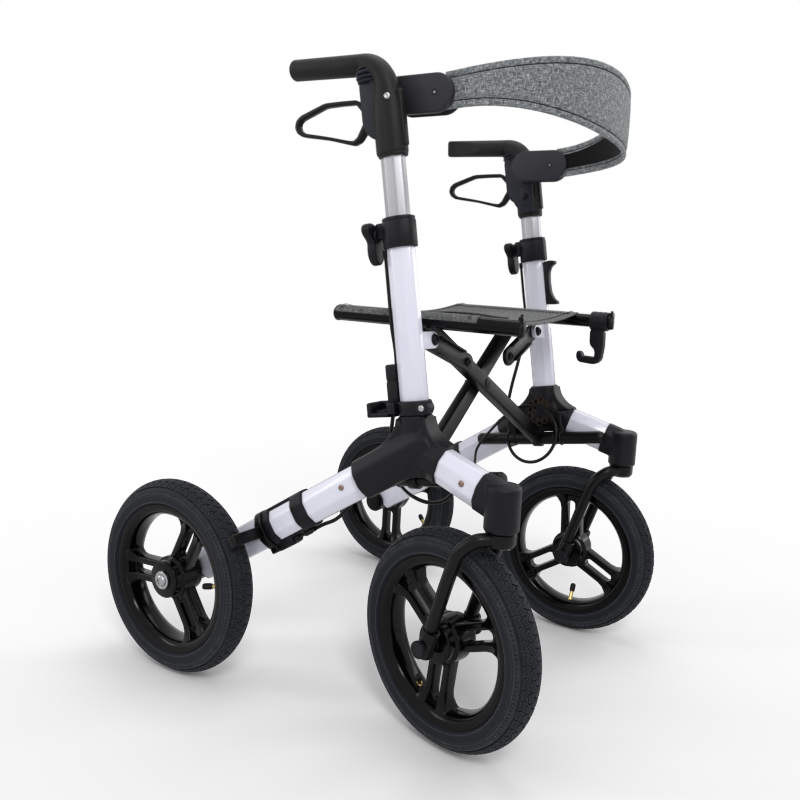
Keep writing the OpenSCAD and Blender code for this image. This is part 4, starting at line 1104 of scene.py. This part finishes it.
def gripShape(bm, side):
    v = handleLook
    place = bendPlace(side, v["bendTurn"])
    r, l = v["gripR"], v["gripL"]
    facing = Vector((-math.cos(math.radians(8)), math.sin(math.radians(8))))
    stations = [(0.2, 0.93), (0.9, 0.935), (1.6, 0.99), (2.6, 1.01)]
    stations += [(l * (0.25 + 0.03 * k), 1.0) for k in range(24)]
    stations += [(l - 3, 1.0), (l - 1.7, 0.975), (l - 0.7, 0.925), (l - 0.1, 0.85), (l, 0.8)]
    rings = []
    for z, g in stations:
        fall = max(min((z / l - 0.42) / 0.45, 1), 0)
        flat = r - v["scoop"] * fall ** 0.8
        ring = []
        for x, y in circle(r * g, 48):
            p = Vector((x, y))
            over = p.dot(facing) - flat
            if over > 0:
                p -= facing * over
            ring.append(place @ Vector((p.x, p.y, z)))
        rings.append(ring)
    loft(bm, rings)


def leverMount(bm, side):
    place = onHandle(side) @ level @ sideView(0)
    outline = rounded([(2, 18), (24, 19), (37, 26), (45.5, 40), (55, 94), (50, 104), (26, 104), (8, 60)],
                      5, 4)
    plate(bm, outline, -11, 11, place, 4, 3, 30)
    cover = rounded([(-15, 5), (8, 1), (24, 17), (34, 34), (39, 60), (40, 90), (-1, 90)], 5, 4)
    plate(bm, cover, -18.6, -10, place, 2.2, 3, 30)
    panel = rounded([(-9, 16), (12, 16), (16, 47), (-5, 47)], 2, 3)
    plate(bm, panel, -19.6, -17, place, 0.7, 2, 30)
    boot = onHandle(side) @ level @ shift(2.5, 45, 104) @ turn(-10, "X")
    for r, z in ((15.6, -6), (17.2, -1), (17.4, 5), (15.6, 11)):
        profile = []
        for a in range(-90, 91, 20):
            profile.append((r - 5 + 5 * math.cos(math.radians(a)), z + 2.9 * math.sin(math.radians(a))))
        squeezed = boot @ Matrix.Diagonal((0.94, 1.0, 1, 1))
        revolve(bm, [(0, z - 2.9)] + profile + [(0, z + 2.9)], squeezed, 36)


def leverPivot(bm, side):
    place = onHandle(side) @ level @ shift(-19.4, 3.5, 32) @ turn(180, "Z") @ alongX
    revolve(bm, [(0, 1.6), (4.6, 1.6), (5.4, 1.2), (5.6, 0.6), (6.6, 0.6), (7, 0.2), (7, -1.5), (0, -1.5)],
            place, 36)


def sleeveScrew(bm, side):
    place = onHandle(side) @ shift(16.0, -9.5, 74) @ turn(-24, "Z") @ alongX
    buttonHead(bm, 4.4, 1.8, place, 0.55, 28)


def bracketFaces(side, outer, inner):
    v = handleLook
    place = onHandle(side) @ shift(0, 0, v["bracketZ"]) @ level @ shift(0, -v["screwY"], 0)
    return place @ shift(outer, 0, 0) @ alongX, place @ shift(inner, 0, 0) @ turn(180, "Z") @ alongX


def bracketScrew(bm, side):
    for place in bracketFaces(side, -17.4, -44.4):
        revolve(bm, [(0, 0.3), (1.2, 0.3), (1.4, 0), (1.4, -1), (0, -1)], place, 16)


# Near-black discs round the bracket screws: painted shade standing in for the depth of the holes.
def bracketHole(bm, side):
    for place in bracketFaces(side, -17.6, -44.5):
        revolve(bm, [(0, -0.4), (3.6, -0.4), (4.1, 0.1), (4.4, 0.1), (4.4, -1), (0, -1)], place, 24)


def leverShape(bm, side):
    place = onHandle(side) @ level
    points = ((46, 58, 8), (62, 72.5, 6.6), (90, 72.5, 6.6), (118, 71.5, 7), (141, 63.5, 7.6),
              (161, 56.5, 8), (167, 51, 8.4), (168.5, 44, 8.4), (165, 37.5, 7.4), (157, 32.5, 6),
              (110, 25.8, 4.8), (74, 18.6, 5.6), (64, 17.4, 7), (55.5, 22, 9), (48, 34, 11), (41.5, 45, 12))
    path = []
    count = len(points)
    for i in range(count):
        a, b = Vector(points[i]), Vector(points[(i + 1) % count])
        path += [a.lerp(b, t) for t in (0.12, 0.35, 0.65, 0.88)]
    rings = []
    for i, p in enumerate(path):
        t = (path[(i + 1) % len(path)] - path[i - 1]).to_2d().normalized()
        out = Vector((-t.y, t.x))
        ring = []
        for x, y in roundRect(10, p.z, min(2.6, p.z * 0.42), 3):
            ring.append(place @ Vector((x, p.x + out.x * y, p.y + out.y * y)))
        rings.append(ring)
    loft(bm, rings, joined=True)
    disc(bm, 8.5, -5, 5, place @ shift(0, handleLook["pinY"], handleLook["pinZ"]) @ alongX, 1)


def bracketOutline(front, rear, r, roundRear):
    end = arc(r, -90, 90, 24, rear - r) if roundRear else [(rear, -r), (rear, r)]
    return arc(r, 90, 270, 24, front + r) + end


def bracketShape(bm, side):
    v = handleLook
    r = v["bracketR"]
    place = onHandle(side) @ shift(0, 0, v["bracketZ"]) @ level @ sideView(0)
    outer = bracketOutline(-v["bracketL"], 0, r, False)
    plate(bm, outer, -28.6, -18.6, place, 1.8, 3, 30)
    plate(bm, [(x * 0.965 - 1.6, y * 0.93) for x, y in outer], -20, -17.8, place, 0.6, 2, 30)
    inner = bracketOutline(-94, 9, r, True)
    plate(bm, inner, -43.6, -40.2, place, 1.2, 3, 30)
    plate(bm, [(x * 0.965 - 1.5, y * 0.94) for x, y in inner], -44.3, -42, place, 0.5, 2, 30)
    plate(bm, [(-70, -21), (-2, -21), (-2, 21), (-70, 21)], -41, -28, place, 1, 2, 30)


dress("handle", handleShape, "grip", "handle", ["handle"], smooth=40)
dress("grip", gripShape, "grip", "handle", ["grip"], smooth=40)
dress("lever_mount", leverMount, "navy", "handle")
dress("lever_pivot", leverPivot, "gloss", "handle")
dress("sleeve_screw", sleeveScrew, "steel", "handle")
dress("bracket_hole", bracketHole, "blackLiningAndShade", "handle")
dress("bracket_screw", bracketScrew, "steel", "handle")
dress("brake_lever", leverShape, "metal", "lever", ["brake_lever"], smooth=40)
dress("backrest_bracket", bracketShape, "slate", "handle", ["backrest_bracket"])
print("stage: handles")

# Cross brace, guide links, lower bars and seat rails

braceLook = {"width": 25.0, "thick": 16.0, "layer": 9.0, "railV": 226.0, "crossV": 117.57, "linkL": 114.0,
             "linkR": 14.0, "linkT": 6.0, "linkW": -22.0, "linkTurn": 200.09}


def crossBar(bm, s, layer):
    v = braceLook
    low = Vector((s * sizes["barX"], 0))
    high = Vector((-s * sizes["railX"], v["railV"]))
    reach = (high - low).length
    face = leanFrame @ shift(0, layer, 0) @ turn(90, "X") @ shift(low.x, low.y, 0)
    bar = face @ turn(math.degrees(math.atan2(high.y - low.y, high.x - low.x)), "Z") @ turn(90, "Y")
    outline = roundRect(v["thick"], v["width"], 3.2, 4)
    loft(bm, [[bar @ Vector((x, y, z)) for x, y in outline] for z in (9, reach * 0.5, reach - 5)])
    half = v["thick"] / 2
    disc(bm, sizes["barD"] / 2 + 3.5, -half, half, face, 1.4, 48)
    cuff = [(x * 1.1, y * 1.06) for x, y in outline]
    loft(bm, [[bar @ Vector((x * f, y * f, z)) for x, y in cuff] for z, f in
              ((reach - 26, 0.96), (reach - 25, 1), (reach - 10, 1), (reach - 6, 0.97))])


def bracePin(bm):
    half = braceLook["layer"] + braceLook["thick"] / 2
    place = leanFrame @ shift(0, 0, braceLook["crossV"]) @ turn(90, "X")
    disc(bm, 4.9, -half - 1, half + 1.6, place, 0.5)
    plate(bm, circle(8.4, 6), -half - 5, -half, place, 0.8, 2)
    buttonHead(bm, 8.5, 1.9, place @ shift(0, 0, half + 0.2), 0.45)


def lowerBarShape(bm, side):
    r, l = sizes["barD"] / 2, sizes["barL"]
    place = leanFrame @ shift(sizes["barX"], l * 0.46, 0) @ turn(90, "X")
    revolve(bm, [(0, -1.6), (5, -1.6), (8.4, -1), (r + 0.2, 3.5), (r + 0.2, 6), (r, 6.3), (r, l - 6.3),
                 (r + 0.2, l - 6), (r + 0.2, l - 3.5), (8.4, l + 1), (5, l + 1.6), (0, l + 1.6)], place, 40)
    for w in (-56, 34):
        block(bm, (sizes["barX"] - 2, w, 0), (sizes["upX"] - 5, w + 16, 42), leanFrame, 2, 3)
        for s in (0, 13):
            revolve(bm, [(r - 1, s), (r + 1.4, s + 0.5), (r + 1.8, s + 1.5), (r + 1.4, s + 2.5),
                         (r - 1, s + 3)], leanFrame @ shift(sizes["barX"], w + 16, 0) @ turn(90, "X"), 40)


def atLink():
    return leanFrame @ shift(tubeLook["tabX"], braceLook["linkW"], tubeLook["tabV"]) @ turn(90, "X")


def linkShape(bm, side):
    v = braceLook
    place = atLink() @ turn(v["linkTurn"], "Z")
    r, l, t = v["linkR"], v["linkL"], v["linkT"]
    plate(bm, arc(r, -90, 90, 14, l) + arc(r, 90, 270, 14), -t / 2, t / 2, place, 0.9, 2, 40)
    for s in (1, -1):
        block(bm, (24, s * (r - 1.3) - 1.2, t / 2 - 1), (l - 16, s * (r - 1.3) + 1.2, t / 2 + 4), place,
              0.8, 2)


def linkBolts(bm, side):
    v = braceLook
    place = atLink()
    disc(bm, 8.6, v["linkT"] / 2 + 7.5, v["linkT"] / 2 + 8.7, place, 0.4)
    buttonHead(bm, 7.4, 4.2, place @ shift(0, 0, v["linkT"] / 2 + 8.5), 0.5)
    inner = place @ turn(v["linkTurn"], "Z") @ shift(v["linkL"] - 4, 0, v["linkT"] / 2)
    disc(bm, 7.6, -0.2, 1, inner, 0.4)
    buttonHead(bm, 6.4, 3.4, inner @ shift(0, 0, 0.8), 0.5)


def railShape(bm):
    r = sizes["railD"] / 2
    l = sizes["railRear"] - sizes["railFront"]
    place = shift(sizes["railX"], sizes["railRear"], sizes["railZ"]) @ turn(90, "X")
    revolve(bm, [(0, -3), (r - 3, -3), (r - 0.6, -2.2), (r + 0.5, -0.8), (r + 0.5, 2.2), (r, 2.5),
                 (r, l - 2.5), (r + 0.5, l - 2.2), (r + 0.5, l + 0.8), (r - 0.6, l + 2.2), (r - 3, l + 3),
                 (0, l + 3)], place, 48)
    front = shift(sizes["railX"], sizes["railFront"] - 1, sizes["railZ"])
    block(bm, (-6.5, -3, -13), (6.5, 4, 16), front, 2.4, 3)
    block(bm, (-3, -1.6, 13), (3, 2.6, 19), front, 1.6, 3)


for name, s in (("rising_left_bar", -1), ("rising_right_bar", 1)):
    dressOne(name + "_look", lambda bm: crossBar(bm, s, -s * braceLook["layer"]), "metal", name,
             [name])
dressOne("brace_pin_look", bracePin, "plastic", "rising_left_bar", ["brace_pin"])
dress("lower_bar", lowerBarShape, "metal", "frame", ["lower_bar"])
dress("guide_link", linkShape, "metal", "link", ["guide_link"])
dress("link_bolts", linkBolts, "plastic", "link")
for side in sides:
    bm = bmesh.new()
    railShape(bm)
    name = side + "_seat_rail"
    mesh = makeMesh(name, bm, ["gloss"], side == "right")
    addPiece(name + "_look", mesh, "rising_" + side + "_bar", [name])
print("stage: cross brace")

# Brake cables: each goes down behind its upright, round the lower bar and along the rear leg

cableLook = {"radius": 2.5, "behind": 26.4, "top": 321.7, "loopR": 50.0, "loopV": 10.0, "sway": 17.0,
             "pitch": 0.7}


def byLeg(x, y, z):
    d = (rearEnd - knot).normalized()
    out = Vector((d.y, -d.x, 0)).normalized()
    return knot + d * z + out * x + out.cross(d) * y


def cablePath():
    v = cableLook
    behind = upW + v["behind"]
    upX, barX, drop = sizes["upX"], sizes["barX"], -brakeLook["drop"]
    lead = [leanPoint(upX, behind, v["top"]), leanPoint(upX, behind, 270), leanPoint(upX, behind, 220),
            leanPoint(upX - 10, behind + 4, 178), leanPoint(upX - 20, behind + 14, 138),
            leanPoint(upX - 26, 37, 94), leanPoint(upX - 28, 47, 56)]
    ring = []
    for k in range(5, 25, 2):
        t = math.radians(90 - 15 * k)
        x = barX + v["sway"] * (math.sin(t) - 0.2) - v["pitch"] * (k - 5)
        ring.append(leanPoint(x, v["loopR"] * math.cos(t), v["loopV"] + v["loopR"] * math.sin(t)))
    tail = [leanPoint(barX - 1, 14, 60), leanPoint(barX - 7, 38, 51), leanPoint(barX - 13, 62, 33),
            leanPoint(barX - 19, 86, 10), leanPoint(barX - 16, 112, -18), byLeg(-22, drop, 182),
            byLeg(-9, drop, 208), byLeg(0, drop, 234), byLeg(0, drop, shoeHome - 24.6)]
    return smoothPath(lead + ring + tail, 5)


def ferrules(bm, side):
    path = cablePath()
    r = cableLook["radius"]
    revolve(bm, [(r, -1), (3.4, -0.6), (3.4, 9), (r, 9.4)], along(path[0], path[2]), 20)
    brakeEnd = along(path[-1], path[-3]) @ shift(0, 0, 30)
    revolve(bm, [(r, 0), (4.4, 0.4), (4.4, 12), (3.4, 13), (3.4, 20), (r, 20.4)], brakeEnd, 20)


for side in sides:
    bm = bmesh.new()
    path = cablePath()
    sweep(bm, path, circle(cableLook["radius"], 14), Vector((1, 0.1, 0.05)))
    name = side + "_brake_cable"
    mesh = makeMesh(name, bm, ["sheath"], side == "right", 50)
    cable = addPiece(name + "_look", mesh, side + "_frame", [name])
dress("ferrules", ferrules, "plastic", "frame")
print("stage: cables")

# Sling seat

seatLook = {"front": -222.0, "rear": 16.0, "sag": 14.0, "thick": 2.6, "slotX": 14.0, "slotRear": -41.5,
            "slotFront": -151.5, "wrap": 76.0, "hem": 13.0, "threadR": 0.45, "dash": 4.5, "gap": 2.2}


def seatProfile(u):
    x, z, r = sizes["railX"], sizes["railZ"], sizes["railD"] / 2 + 0.35 + seatLook["thick"] / 2
    if abs(u) <= 1:
        return Vector((x * u, z + r - seatLook["sag"] * (1 - u * u)))
    s = 1 if u > 0 else -1
    a = math.radians(90 - (abs(u) - 1) * seatLook["wrap"])
    return Vector((s * (x + r * math.cos(a)), z + r * math.sin(a)))


def seatRuns():
    v = seatLook
    slot = v["slotX"] / sizes["railX"]
    across = [1 + k / 7 for k in range(7, 0, -1)]
    flat = [1 - 0.04 * k for k in range(23)] + [slot]
    right = [-u for u in across] + [-u for u in flat]
    row = right + [-slot / 3, slot / 3] + [-u for u in reversed(right)]
    front, rear, hem = v["front"], v["rear"], v["hem"]
    deep = [front]
    for low, high, count in ((front, front + hem, 3), (front + hem, v["slotFront"], 7),
                             (v["slotFront"], v["slotRear"], 12), (v["slotRear"], rear - hem, 5),
                             (rear - hem, rear, 3)):
        deep += [low + (high - low) * (k + 1) / count for k in range(count)]
    return row, deep


def seatPoint(u, y, lift=0.0):
    p = seatProfile(u)
    q = seatProfile(u + 0.001) - seatProfile(u - 0.001)
    n = Vector((-q.y, q.x)).normalized()
    v = seatLook
    edge = min(y - v["front"], v["rear"] - y)
    sink = max(1 - abs(u), 0) * 1.2 * noise.noise(Vector((u * 2.4, y * 0.016, 3.1)))
    pull = 0.5 * math.exp(-((edge - v["hem"]) / 1.6) ** 2)
    curl = -1.4 * math.exp(-(edge / 4) ** 2) * max(1 - abs(u), 0)
    p = p + n * (lift + sink - pull + curl)
    return Vector((p.x, y, p.y))


def clothMap(bm, place):
    layer = bm.loops.layers.uv.new("cloth")
    for face in bm.faces:
        for loop in face.loops:
            loop[layer].uv = place(loop.vert.co)


def seatFlat(p):
    x, r = sizes["railX"], sizes["railD"] / 2 + 2
    s = 1 if p.x > 0 else -1
    if abs(p.x) <= x:
        return p.x * 0.001, p.y * 0.001
    a = math.atan2(abs(p.x) - x, p.z - sizes["railZ"])
    return s * (x + r * a) * 0.001, p.y * 0.001


def seatShape(bm):
    row, deep = seatRuns()
    v = seatLook
    grid = []
    for y in deep:
        grid.append([bm.verts.new(seatPoint(u, y)) for u in row])
    for j in range(len(deep) - 1):
        for i in range(len(row) - 1):
            mid = (row[i] + row[i + 1]) / 2 * sizes["railX"]
            inSlot = abs(mid) < v["slotX"] and v["slotFront"] <= deep[j] < v["slotRear"] - 0.01
            if not inSlot:
                bm.faces.new((grid[j][i], grid[j][i + 1], grid[j + 1][i + 1], grid[j + 1][i]))
    bmesh.ops.delete(bm, geom=[p for p in bm.verts if not p.link_faces], context="VERTS")
    bmesh.ops.recalc_face_normals(bm, faces=bm.faces)
    bmesh.ops.solidify(bm, geom=bm.faces[:], thickness=v["thick"])
    clothMap(bm, seatFlat)


def stitches(bm, points):
    dash, gap = seatLook["dash"], seatLook["gap"]
    run = 0.0
    path = []
    for p, q in zip(points, points[1:]):
        path.append((run, p, q))
        run += (q - p).length

    def at(s):
        for start, p, q in path:
            if s <= start + (q - p).length:
                return p.lerp(q, (s - start) / (q - p).length)
        return points[-1]

    for k in range(int(run / (dash + gap))):
        a = k * (dash + gap)
        sweep(bm, [at(a), at(a + dash / 2), at(a + dash)], circle(seatLook["threadR"], 6),
              Vector((0.3, 0.5, 0.8)))


def seatStitches(bm):
    v = seatLook
    lift = v["thick"] / 2 + 0.1
    for y in (v["front"] + v["hem"], v["rear"] - v["hem"], v["front"] + v["hem"] - 3,
              v["rear"] - v["hem"] + 3):
        stitches(bm, [seatPoint(-1.7 + 3.4 * k / 80, y, lift) for k in range(81)])
    for s in (1, -1):
        for u in (0.86, 0.84):
            depths = [v["front"] + 4 + (v["rear"] - v["front"] - 8) * k / 40 for k in range(41)]
            stitches(bm, [seatPoint(s * u, y, lift) for y in depths])
    x = (v["slotX"] + 6) / sizes["railX"]
    front, rear = v["slotFront"] - 6, v["slotRear"] + 6
    loop = [(x, front), (x, rear), (-x, rear), (-x, front), (x, front)]
    for a, b in zip(loop, loop[1:]):
        line = [(a[0] + (b[0] - a[0]) * k / 20, a[1] + (b[1] - a[1]) * k / 20) for k in range(21)]
        stitches(bm, [seatPoint(u, y, lift) for u, y in line])


def pullStrap(bm):
    v = seatLook
    outline = roundRect(26, 2.2, 1, 3)
    mid = (v["slotFront"] + v["slotRear"]) / 2
    top = seatPoint(0.08, mid).z
    front, rear = v["slotFront"], v["slotRear"]
    points = [(0, front - 20, top + 2.6), (0, front - 4, top + 2.8), (0, front + 14, top + 4),
              (0, mid - 20, top + 5.4), (0, mid + 20, top + 5.4), (0, rear - 14, top + 4),
              (0, rear + 4, top + 2.8), (0, rear + 20, top + 2.6)]
    sweep(bm, smoothPath(points, 5), outline, Vector((1, 0, 0)))


seatBm = bmesh.new()
seatShape(seatBm)
seatMesh = makeMesh("seat_cloth", seatBm, ["seatCloth"], smooth=60)
seatPiece = addPiece("seat_cloth_look", seatMesh, None, ["seat_cloth"])
seatExtras = [dressOne("seat_stitches", seatStitches, "thread", None, smooth=60),
              dressOne("seat_pull_strap", pullStrap, "blackLiningAndShade", None, smooth=60)]
for piece in [seatPiece] + seatExtras:
    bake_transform(piece)
print("stage: seat")

# Padded backrest strap between the two brackets

strapLook = {"x": 187.2, "endY": 86.0, "endZ": 10.0, "reach": 172.0, "rise": 23.0, "endH": 50.0,
             "midH": 98.0, "thick": 9.0, "steps": 72, "seam": 9.5, "panel": 13.0}


def strapEnd(side):
    p = leanPoint(0, upW, collarTop + raises[side] + handleLook["bracketZ"])
    return p.y - strapLook["endY"], p.z + strapLook["endZ"]


def strapStation(t):
    v = strapLook
    a = math.radians(t)
    k, m = (1 + math.sin(a)) / 2, max(math.cos(a), 0)
    (rightY, rightZ), (leftY, leftZ) = strapEnd("right"), strapEnd("left")
    centre = Vector((v["x"] * math.sin(a), rightY * (1 - k) + leftY * k - v["reach"] * m ** 0.9 + 14,
                     rightZ * (1 - k) + leftZ * k - 6 + v["rise"] * m))
    out = Vector((math.sin(a), -math.cos(a), 0))
    return centre, out, v["endH"] + (v["midH"] - v["endH"]) * m * m


def strapPoint(t, across, depth):
    centre, out, high = strapStation(t)
    return centre + out * depth + Vector((0, 0, across * high / 2))


def strapSection(t):
    v = strapLook
    high = strapStation(t)[2]
    seam = 1 - 2 * v["seam"] / high
    half = v["thick"] / 2
    wave = 0.5 * noise.noise(Vector((t * 0.11, 0.3, 5.0)))
    upper = [(0.2, 1.0), (0.45, 0.96), (seam - 0.12, 0.86), (seam - 0.035, 0.66), (seam, 0.34),
             (seam + 0.035, 0.66), (0.92, 0.74), (0.955, 0.66), (0.985, 0.42), (1.0, 0.0)]
    puff = [(-a, d) for a, d in reversed(upper)] + [(0, 1.0)] + upper
    ring = [(a, half * d + (wave * (1 - a * a) if abs(a) < seam else 0) * 0.5) for a, d in puff]
    ring += [(a, -half * d) for a, d in reversed(puff[1:-1])]
    return ring


def strapFlat(p):
    v = strapLook
    t = math.asin(max(-1, min(1, p.x / (v["x"] + 4.5))))
    return t * 0.19, p.z * 0.001


def strapShape(bm):
    v = strapLook
    rings = []
    for k in range(v["steps"] + 1):
        t = -90 + 180 * k / v["steps"]
        rings.append([strapPoint(t, a, d) for a, d in strapSection(t)])
    loft(bm, rings)
    clothMap(bm, strapFlat)


def strapPanel(bm):
    v = strapLook
    rings = []
    for k in range(v["steps"] + 1):
        t = -86 + 172 * k / v["steps"]
        high = strapStation(t)[2]
        edge = 1 - 2 * v["panel"] / high
        ring = []
        for i in range(13):
            a = -edge + 2 * edge * i / 12
            ring.append(strapPoint(t, a, -v["thick"] / 2 - 0.6 + 1.1 * a ** 4))
        ring += [strapPoint(t, a, -v["thick"] / 2 + 2.4) for a in (edge, -edge)]
        rings.append(ring)
    loft(bm, rings)


def strapSeams(bm):
    v = strapLook
    for face in (1, -1):
        for s in (1, -1):
            line = []
            for k in range(97):
                t = -88 + 176 * k / 96
                seam = 1 - 2 * v["seam"] / strapStation(t)[2]
                line.append(strapPoint(t, s * seam, face * v["thick"] / 2 * 0.44))
            sweep(bm, line, circle(0.9, 8), Vector((0, 0, 1)))


strapBm = bmesh.new()
strapShape(strapBm)
strapMesh = makeMesh("backrest_strap", strapBm, ["strapCloth"], smooth=60)
strapPiece = addPiece("backrest_strap_look", strapMesh, "right_handle", ["backrest_strap"])
strapExtras = [dressOne("strap_panel", strapPanel, "blackLiningAndShade", "right_handle", smooth=60),
               dressOne("strap_seams", strapSeams, "thread", "right_handle", smooth=60)]
for piece in [strapPiece] + strapExtras:
    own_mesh(piece)
print("stage: backrest")

# Cane cup, bag hook and clip

cupLook = {"high": 20.0, "near": 2.0, "far": 48.0, "inner": -16.0, "outer": 20.0, "wellX": 2.0,
           "wellY": 28.0, "screwX": 17.0, "screwUp": 10.0}


def atCup(up=0.0):
    return onUpright(knotV + sizes["knotUp"] + up)


def cupShape(bm):
    v = cupLook
    place = atCup()
    d = sizes["upD"] / 2
    near, far, inner, outer, high = d + v["near"], d + v["far"], v["inner"], v["outer"], v["high"]
    sleeve(bm, uprightTube(5.4, 8), 0, high, place, 3)
    disc(bm, 10, -9, 9.5, place @ shift(7.5, -d - 1, 10) @ alongX, 2.2)
    block(bm, (inner, near, 0), (outer, far, 6), place, 2, 3)
    block(bm, (inner, near, 0), (inner + 6, far, high), place, 2, 3)
    block(bm, (inner, far - 7, 0), (outer, far, high), place, 2.6, 3)
    block(bm, (inner, near, 0), (outer, near + 13, high - 1), place, 2, 3)
    revolve(bm, [(12, 4), (13.6, 4), (13.9, 5), (13.9, 8), (13.2, 9), (12.2, 9), (11.8, 8), (11.8, 4)],
            place @ shift(v["wellX"], d + v["wellY"], 0), 48, True)
    block(bm, (-8, near + 0.5, 18), (8, near + 17, 47), place, 2, 3)
    block(bm, (-7.6, near + 2, 46), (7.6, near + 15.5, 49.5), place, 0.6, 2)
    block(bm, (-8, near + 0.5, 49), (8, near + 17, 71), place, 2.6, 3)


def cupScrew(bm):
    place = atCup(cupLook["screwUp"]) @ shift(cupLook["screwX"], -sizes["upD"] / 2 - 1, 0) @ alongX
    buttonHead(bm, 4.6, 2.4, place, 0.5, 28)


# A near-black disc across the cup's well: painted shade standing in for the depth of the hole.
def cupWell(bm):
    place = atCup() @ shift(cupLook["wellX"], sizes["upD"] / 2 + cupLook["wellY"], 0)
    disc(bm, 11.9, 4.5, 6.4, place, 0.3)


hookLook = {"back": 24.0, "half": 7.0, "padHalf": 5.5, "ribs": (-6, 3, 12), "teeth": 8}


def atHook():
    return shift(sizes["railX"], sizes["railFront"] + hookLook["back"], sizes["railZ"])


def hookShape(bm):
    v = hookLook
    place = atHook()
    r = sizes["railD"] / 2
    ring = place @ turn(90, "X")
    revolve(bm, [(r, -10), (r + 4, -10), (r + 5, -9), (r + 5, 19), (r + 4, 20), (r, 20)], ring, 48, True)
    for z in v["ribs"]:
        revolve(bm, [(r + 4, z), (r + 5.4, z + 0.6), (r + 5.4, z + 2.4), (r + 4, z + 3)], ring, 48)
    drop = -r
    arm = rounded([(-14, drop - 2), (10, drop - 2), (9, drop - 30), (-1, drop - 38), (-1, drop - 50),
                   (4, drop - 53), (20, drop - 52), (23, drop - 44), (30, drop - 42), (32, drop - 52),
                   (27, drop - 61), (-2, drop - 63), (-12, drop - 56), (-15, drop - 30)], 7, 5)
    plate(bm, arm, -v["half"], v["half"], place @ sideView(0), 2.4, 3)
    knob = place @ shift(r + 3, 5, 0) @ alongX
    revolve(bm, [(0, 0), (5, 0), (5, 3), (7.4, 4), (8, 5), (8, 11.5), (7.2, 12.8), (0, 13)], knob, 32)
    for k in range(v["teeth"]):
        block(bm, (7, -1.5, 4.6), (8.8, 1.5, 12), knob @ turn(360 / v["teeth"] * k, "Z"), 0.6, 2)


def hookPad(bm):
    drop = -sizes["railD"] / 2
    half = hookLook["padHalf"]
    pad = rounded([(3, drop - 53.4), (19, drop - 52.6), (19, drop - 50.4), (3, drop - 51)], 1, 3)
    plate(bm, pad, -half, half, atHook() @ sideView(0), 0.6, 2)


clipLook = {"ahead": 22.0, "below": 79.0, "half": 6.0}


def clipShape(bm):
    v = clipLook
    top = sizes["uprightTop"] - sizes["collarH"] / 2
    place = onUpright(top - v["below"]) @ shift(0, -sizes["upD"] / 2 - v["ahead"], 0) @ sideView(0)
    outer = rounded([(23.5, 2), (23.5, 78), (10, 80), (0, 78), (0, 73), (8, 69), (12.5, 60), (14, 42),
                     (12.5, 22), (7, 9), (1, 5), (1, 0), (12, 0)], 4, 4)
    plate(bm, outer, -v["half"], v["half"], place, 1.4, 3)


dressOne("cane_cup_look", cupShape, "plastic", "right_frame", ["cane_cup"], True)
dressOne("cane_cup_screw", cupScrew, "steel", "right_frame", (), True)
dressOne("cane_cup_well", cupWell, "blackLiningAndShade", "right_frame", (), True)
dressOne("bag_hook_look", hookShape, "plastic", "rising_left_bar", ["bag_hook"])
dressOne("bag_hook_pad", hookPad, "navy", "rising_left_bar")
dressOne("accessory_clip_look", clipShape, "plastic", "left_frame", ["accessory_clip"])
print("stage: accessories")

print("stage: finish")
